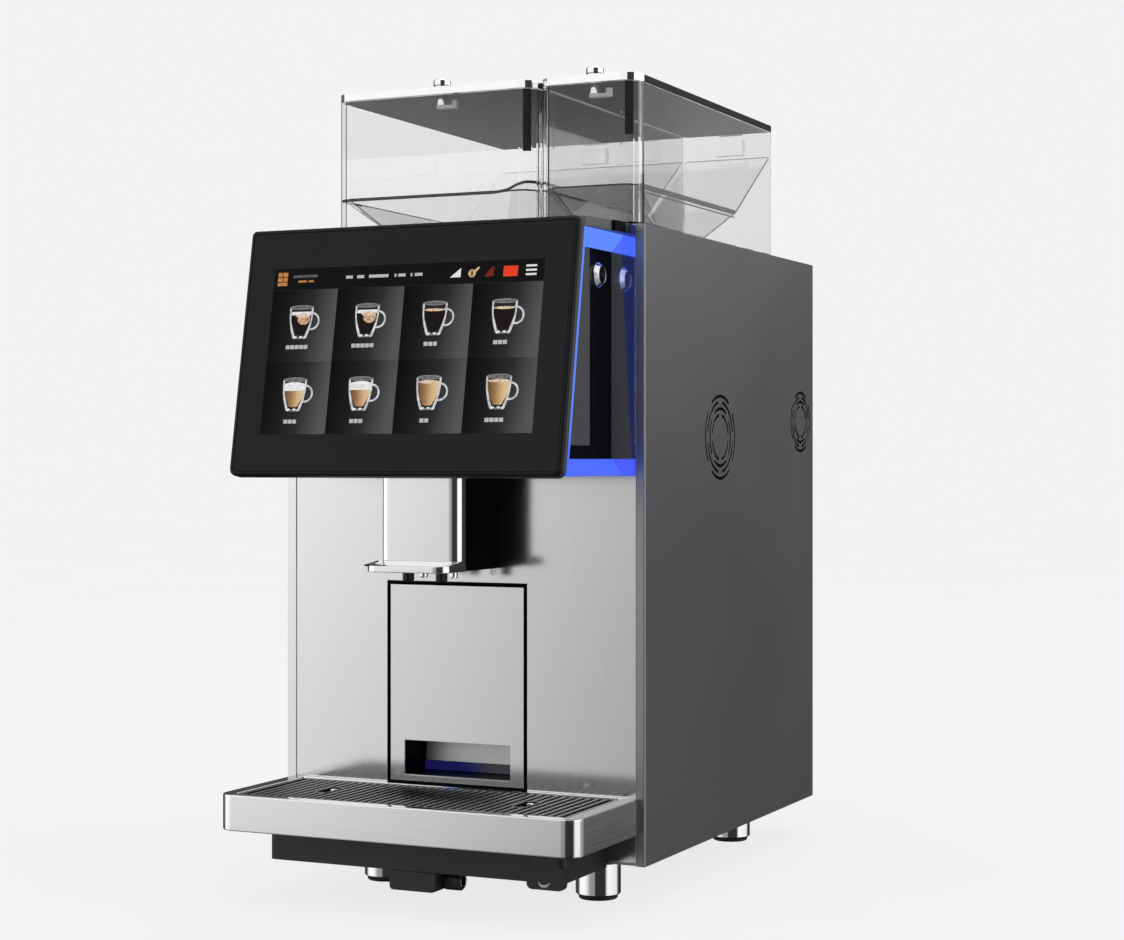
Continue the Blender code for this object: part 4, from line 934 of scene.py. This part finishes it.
def make_tray():
    """The tray's steel shell with its basin, darker steel on its rim's top and its ends as painted shade, and
    the pins that show in the grate's finger holes.
    """
    def outline(d, z):
        x, front = TRAY_X - d, TRAY_FRONT + d
        return level(rounded(-x, x, front, TRAY_BACK, TRAY_CORNER - d, 0.0004, 12), z)

    def inside(d, z, r):
        x, y0, y1 = GRATE_X + 0.0005 - d, GRATE_FRONT - 0.0005 + d, GRATE_BACK + 0.0005 - d
        return level(rounded(-x, x, y0, y1, r, r, 12), z)

    sections = [
        outline(0.0012, TRAY_LOW), outline(0.0004, TRAY_LOW + 0.0003), outline(0, TRAY_LOW + 0.0012),
        outline(0, TRAY_TOP - 0.0012), outline(0.0003, TRAY_TOP - 0.0003), outline(0.0010, TRAY_TOP),
        inside(-0.0006, TRAY_TOP, 0.0036), inside(0, TRAY_TOP - 0.0006, 0.0030),
        inside(0, GRATE_LOW - 0.0002, 0.0030),
        inside(0.005, GRATE_LOW - 0.0002, 0.006), inside(0.005, TRAY_LOW + 0.005, 0.006),
        inside(0.006, TRAY_LOW + 0.004, 0.006),
    ]
    shell = loft(sections)
    bmesh.ops.recalc_face_normals(shell, faces=shell.faces)
    # Upward rim faces and the end faces get the darker copies: painted shade by which way a face points.
    for face in shell.faces:
        middle = face.calc_center_median()
        if abs(face.normal.z) > 0.9 and middle.z > TRAY_TOP - 0.001 and abs(middle.x) > GRATE_X:
            face.material_index = 1
        elif abs(face.normal.x) > 0.9 and abs(middle.x) > TRAY_X - 0.002:
            face.material_index = 2
    piece("tray_shell", shell, (TRAY_STEEL, RIM_PAINTED_SHADE_STEEL, TRAY_END_PAINTED_SHADE_STEEL), "tray", ["drip_tray"])
    pins = bmesh.new()
    low, high, radius = TRAY_LOW + 0.0039, GRATE_TOP - 0.0001, 0.0026
    profile = [(0, low), (radius, low), (radius, high - 0.0007), (radius - 0.0008, high), (0, high)]
    for x in (-FINGER_X, FINGER_X):
        turned(profile, "Z", (x + 0.0010, FINGER_Y + 0.004), 24, bm=pins)
    piece("tray_pins", pins, CHROME, "tray")


def bar_section(x, half, low, high):
    """Cross-section of a bar with a rounded top."""
    crown = half * 0.8
    points = [(x - half, low), (x + half, low), (x + half, high - crown)]
    points += [(x + half * cos(a), high - crown + crown * sin(a)) for a in (pi * i / 6 for i in range(1, 6))]
    return points + [(x - half, high - crown)]


def make_grate():
    """The grate: a rim, bars between front and back, two cross bars below and two rimmed finger holes."""
    bm = bmesh.new()
    x, y0, y1 = GRATE_X, GRATE_FRONT, GRATE_BACK

    def ring(d, z):
        return level(rounded(-x + d, x - d, y0 + d, y1 - d, 0.0038 - d, 0.0038 - d, 6), z)

    loft([ring(0, GRATE_LOW), ring(0, GRATE_TOP - 0.0006), ring(0.0006, GRATE_TOP), ring(0.0024, GRATE_TOP),
          ring(0.0030, GRATE_TOP - 0.0006), ring(0.0030, GRATE_LOW)], True, bm)
    first = -GRATE_PITCH * GRATE_COUNT / 2
    half, inside = (GRATE_PITCH - GRATE_SLOT) / 2, 0.0028
    gap0, gap1 = FINGER_Y - FINGER_L / 2, FINGER_Y + FINGER_L / 2
    for i in range(1, GRATE_COUNT):
        bar = first + GRATE_PITCH * i
        cut = min(abs(bar - FINGER_X), abs(bar + FINGER_X)) < FINGER_W / 2 + half
        spans = ((y0 + inside, gap0), (gap1, y1 - inside)) if cut else ((y0 + inside, y1 - inside),)
        for start, end in spans:
            prism(bar_section(bar, half, GRATE_LOW, GRATE_TOP), "Y", start, end, bm)
    for y in (y0 + 0.0225, y1 - 0.0225):
        block(-x + inside, x - inside, y - 0.001, y + 0.001, GRATE_LOW, GRATE_LOW + 0.0014, bm)
    for hole in (-FINGER_X, FINGER_X):

        def rim(d, z):
            w, l, r = FINGER_W / 2 + d, FINGER_L / 2 + d, 0.0045 + d
            return level(rounded(hole - w, hole + w, FINGER_Y - l, FINGER_Y + l, r, r, 6), z)

        loft([rim(0.0012, GRATE_LOW), rim(0.0012, GRATE_TOP - 0.0003), rim(0.0008, GRATE_TOP + 0.0001),
              rim(0.0003, GRATE_TOP + 0.0001), rim(0, GRATE_TOP - 0.0003), rim(0, GRATE_LOW)], True, bm)
    piece("grate_bars", bm, GRATE, "grate", ["drip_grate"])


# ---- hoppers and lids


def make_lids():
    """The knob of each lid's lock above the lid and its cam below."""
    y = FRONT + 0.015
    r, neck, low = 0.0065, 0.0060, KNOB_TOP - 0.0070
    profile = [(0, low), (r - 0.0004, low), (r, low + 0.0004), (r, low + 0.0011), (neck, low + 0.0016)]
    profile += [(neck, low + 0.0021), (r, low + 0.0026), (r, KNOB_TOP - 0.0008), (r - 0.0008, KNOB_TOP)]
    profile += [(0.0042, KNOB_TOP), (0.0038, KNOB_TOP - 0.0005), (0, KNOB_TOP - 0.0005)]
    shaft = [(0, 0.5929), (0.0040, 0.5929), (0.0040, low + 0.0002), (0, low + 0.0002)]
    for name, (x0, x1) in HOPPERS.items():
        middle = (x0 + x1) / 2
        knob = bmesh.new()
        turned(profile, "Z", (middle, y), 40, bm=knob)
        turned(shaft, "Z", (middle, y), 24, bm=knob)
        x0, x1 = middle - 0.0036, middle + 0.0036
        block(x0, x1, y - 0.0007, y + 0.0007, KNOB_TOP - 0.0006, KNOB_TOP - 0.0001, knob)
        piece(f"knob_{name}", knob, CHROME, f"lock_{name}", [f"lid_lock_{name}"])
        cam = bmesh.new()
        tip = middle + 0.014
        arm = rounded(middle - 0.004, tip, y - 0.003, y + 0.003, 0.0028, 0.0028, 6)
        hook = rounded(middle + 0.0095, tip, y - 0.0025, y + 0.0025, 0.0015, 0.0015, 4)
        prism(arm, "Z", 0.5905, 0.5928, cam)
        prism(hook, "Z", 0.5926, 0.5965, cam)
        piece(f"cam_{name}", cam, WHITE, f"lock_{name}")


def band_along(bm, path, width, low, high):
    """A flat band standing on edge along an open path of (x, y, z) points; z moves both its edges."""
    sections = []
    for i, (x, y, z) in enumerate(path):
        before, after = path[max(i - 1, 0)], path[min(i + 1, len(path) - 1)]
        along = Vector((after[0] - before[0], after[1] - before[1], 0)).normalized()
        nx, ny = -along.y * width / 2, along.x * width / 2
        corners = ((-1, low), (1, low), (1, high), (-1, high))
        sections.append([(x + side * nx, y + side * ny, z + rise) for side, rise in corners])
    loft(sections, bm=bm)


def make_hopper_rims():
    """The dark polished rim of each chute, level along the front and higher along the left hopper's side."""
    for name, (x0, x1) in HOPPERS.items():
        bm = bmesh.new()
        left, right, front, bend = x0 + HOPPER_WALL, x1 - HOPPER_WALL, FRONT + HOPPER_WALL, FRONT + 0.206
        corner = HOPPER_CORNER
        if name == "left":
            r = 0.006
            path = [(left, front + 0.030, CHUTE_LOW), (left, front + 0.007, CHUTE_LOW)]
            path += level(arc(left + r, front + r, r, pi, 1.5 * pi, 6), CHUTE_LOW)
            path += [(right - 0.030, front, CHUTE_LOW), (right - 0.020, front, 0.5250)]
            path += [(right - 0.012, front, 0.5285)]
            path += level(arc(right - r, front + r, r, 1.5 * pi, 2 * pi, 6), CHUTE_HIGH)
            path += [(right, bend, CHUTE_HIGH)]
            band_along(bm, path, 0.0010, -0.0010, 0.0010)
        else:
            path = [(right, front + 0.008, CHUTE_LOW), (right, bend, CHUTE_LOW)]
            band_along(bm, path, 0.0014, -0.0016, 0.0020)
            band_along(bm, path, 0.0008, -0.0042, -0.0034)
        low, high = BODY_TOP + 0.0006, HOPPER_TOP - 0.0005
        # Dark strips on the clear corners: painted shade.
        edge_shade_strip(bm, (x0 + corner, FRONT + corner), corner, radians(205), low, high)
        if name == "left":
            edge_shade_strip(bm, (x1 - corner, FRONT + corner), corner, radians(340), low, high)
        piece(f"chute_rim_and_edge_shade_{name}", bm, DARK_RIM_AND_SHADE, f"hopper_{name}")
        # A dark band on the hopper's front right corner: painted shade.
        start, end, steps = radians(284), radians(312), 6
        outer, inner = (
            arc(x1 - corner, FRONT + corner, corner + out, start, end, steps) for out in (GAP, -0.00002)
        )
        shade = prism(outer + inner[::-1], "Z", SHADE_FOOT[name], HOPPER_TOP - 0.0002)
        piece(f"corner_shade_{name}", shade, DARK_RIM_AND_SHADE, f"hopper_{name}")
    divider = block(0.06245, 0.06310, FRONT + 0.014, FRONT + 0.284, BODY_TOP + 0.0010, HOPPER_TOP - 0.0005)
    piece("hopper_divider", divider, TINTED, "hopper_left")


# ---- side vents


def make_vent_shade_fills():
    """Deep black plates that fill the slots of the side panels: painted shade for the dark inside of the
    vents.
    """
    half = VENT_SLOT / 2
    for side, label in SIDES:
        for (y, z, radius), place in zip(VENTS, ("front", "rear")):
            bm = bmesh.new()
            for ring in range(4):
                middle = (radius - half) * (1 - VENT_SHRINK * ring / 3)
                for quarter in range(4):
                    centre = pi / 2 * quarter + (pi / 4 if ring % 2 else 0)
                    start, end = centre - VENT_ARC, centre + VENT_ARC
                    outer = arc(y, z, middle + half - GAP, start, end, 14)
                    inner = arc(y, z, middle - half + GAP, start, end, 14)
                    prism(outer + inner[::-1], "X", side * (PANEL_X - 0.0010), side * (PANEL_X - 0.0001), bm)
            piece(f"vent_shade_fill_{place}_{label}", bm, DEEP, "cabinet")


# ---- small parts, rear and feet


def make_details():
    """The painted blue glow and bright lip of the drawer's slot, the drain's collar and liner, the support's
    window with painted light.
    """
    x0, x1, slot_low, slot_high = -0.0466, 0.0416, 0.0866, 0.0934
    # The slot's back glows: painted light, it is no lamp.
    glow = block(x0, x1, FRONT + 0.0316, FRONT + 0.0320, slot_low, slot_high)
    piece("handle_slot_painted_glow", glow, PAINTED_SLOT_GLOW, "drawer")
    lip = block(x0, x1, FRONT + 0.0002, FRONT + 0.0010, slot_low - 0.0003, slot_low + 0.0001)
    piece("slot_lip", lip, CHROME, "drawer")
    drain = (FRONT - 0.056, 0.0215)
    collar = [(0.0046, 0.0190), (0.0070, 0.0190), (0.0070, 0.0306), (0.0064, 0.0314), (0.0052, 0.0314)]
    collar += [(0.0046, 0.0306)]
    piece("drain_collar", turned(collar, "X", drain, 40, True), BLACK, "cabinet")
    liner = [(0.0034, 0.0080), (0.0043, 0.0080), (0.0043, 0.0318), (0.0040, 0.0322), (0.0036, 0.0322)]
    liner += [(0.0034, 0.0318)]
    piece("drain_liner", turned(liner, "X", drain, 40, True), CHROME, "cabinet")
    # A white crescent where the bright background shows through the support's hole: painted light.
    x, z = 0.1047, 0.0302
    window = arc(x, z, 0.0046, 1.08 * pi, 1.92 * pi, 10)
    window += arc(x, z + 0.0028, 0.0054, 1.80 * pi, 1.20 * pi, 10)
    piece("support_window_painted_light", prism(window, "Y", FRONT - 0.0743, FRONT - 0.0739), WHITE, "cabinet")


def screw_head(bm, axis, centre, radius, base):
    """A domed screw head with a socket, standing out from base along the axis."""
    profile = [(0, base), (radius, base), (radius, base + 0.0003), (radius * 0.8, base + 0.0005)]
    profile += [(radius * 0.38, base + 0.0006), (radius * 0.30, base + 0.0002), (0, base + 0.0002)]
    turned(profile, axis, centre, 28, bm=bm)


def make_rear():
    """Screws around the rear panel, a blank plate and a collar around the water inlet."""
    screws = bmesh.new()
    low, high = 0.050, 0.480
    places = [(x, z) for x in (-0.138, 0.138) for z in (low, 0.190, 0.335, high)] + [(0, low), (0, high)]
    for place in places:
        screw_head(screws, "Y", place, 0.0031, BACK - 0.0001)
    piece("rear_screws", screws, DULL_STEEL, "cabinet")
    plate = prism(rounded(-0.045, 0.045, 0.120, 0.165, 0.003, 0.003, 6), "Y", BACK - 0.0001, BACK + 0.0002)
    piece("blank_plate", plate, CAST, "cabinet")
    low, high = BACK - 0.0002, BACK + 0.0003
    collar = [(0.0137, low), (0.0160, low), (0.0160, high), (0.0137, high)]
    piece("water_collar", turned(collar, "Y", (0.100, 0.080), 48, True), CHROME, "cabinet")


def make_feet():
    """The chromed cup and the rubber pad of each levelling foot."""
    cup = [(0, 0.0022), (0.0146, 0.0022), (0.0156, 0.0030), (0.0168, 0.0042), (0.0168, 0.0268)]
    cup += [(0.0160, 0.0278), (0.0100, 0.0280), (0.0100, 0.0286), (0.0060, 0.0286), (0.0060, 0.0309)]
    cup += [(0, 0.0309)]
    pad = [(0, 0), (0.0138, 0), (0.0145, 0.0007), (0.0145, 0.0023), (0, 0.0023)]
    for name in FEET:
        x, y = middle_of(f"foot_{name}").xy
        piece(f"foot_cup_{name}", turned(cup, "Z", (x, y), 64), CHROME, f"foot_{name}", [f"foot_{name}"])
        piece(f"foot_pad_{name}", turned(pad, "Z", (x, y), 48), RUBBER, f"foot_{name}")


bpy.context.scene.view_settings.view_transform = "Standard"
make_camera()
make_world()
make_floor()
make_lights()
dress_nodes()
make_display()
make_screen()
make_head()
make_spout()
make_tray()
make_grate()
make_lids()
make_hopper_rims()
make_vent_shade_fills()
make_details()
make_rear()
make_feet()
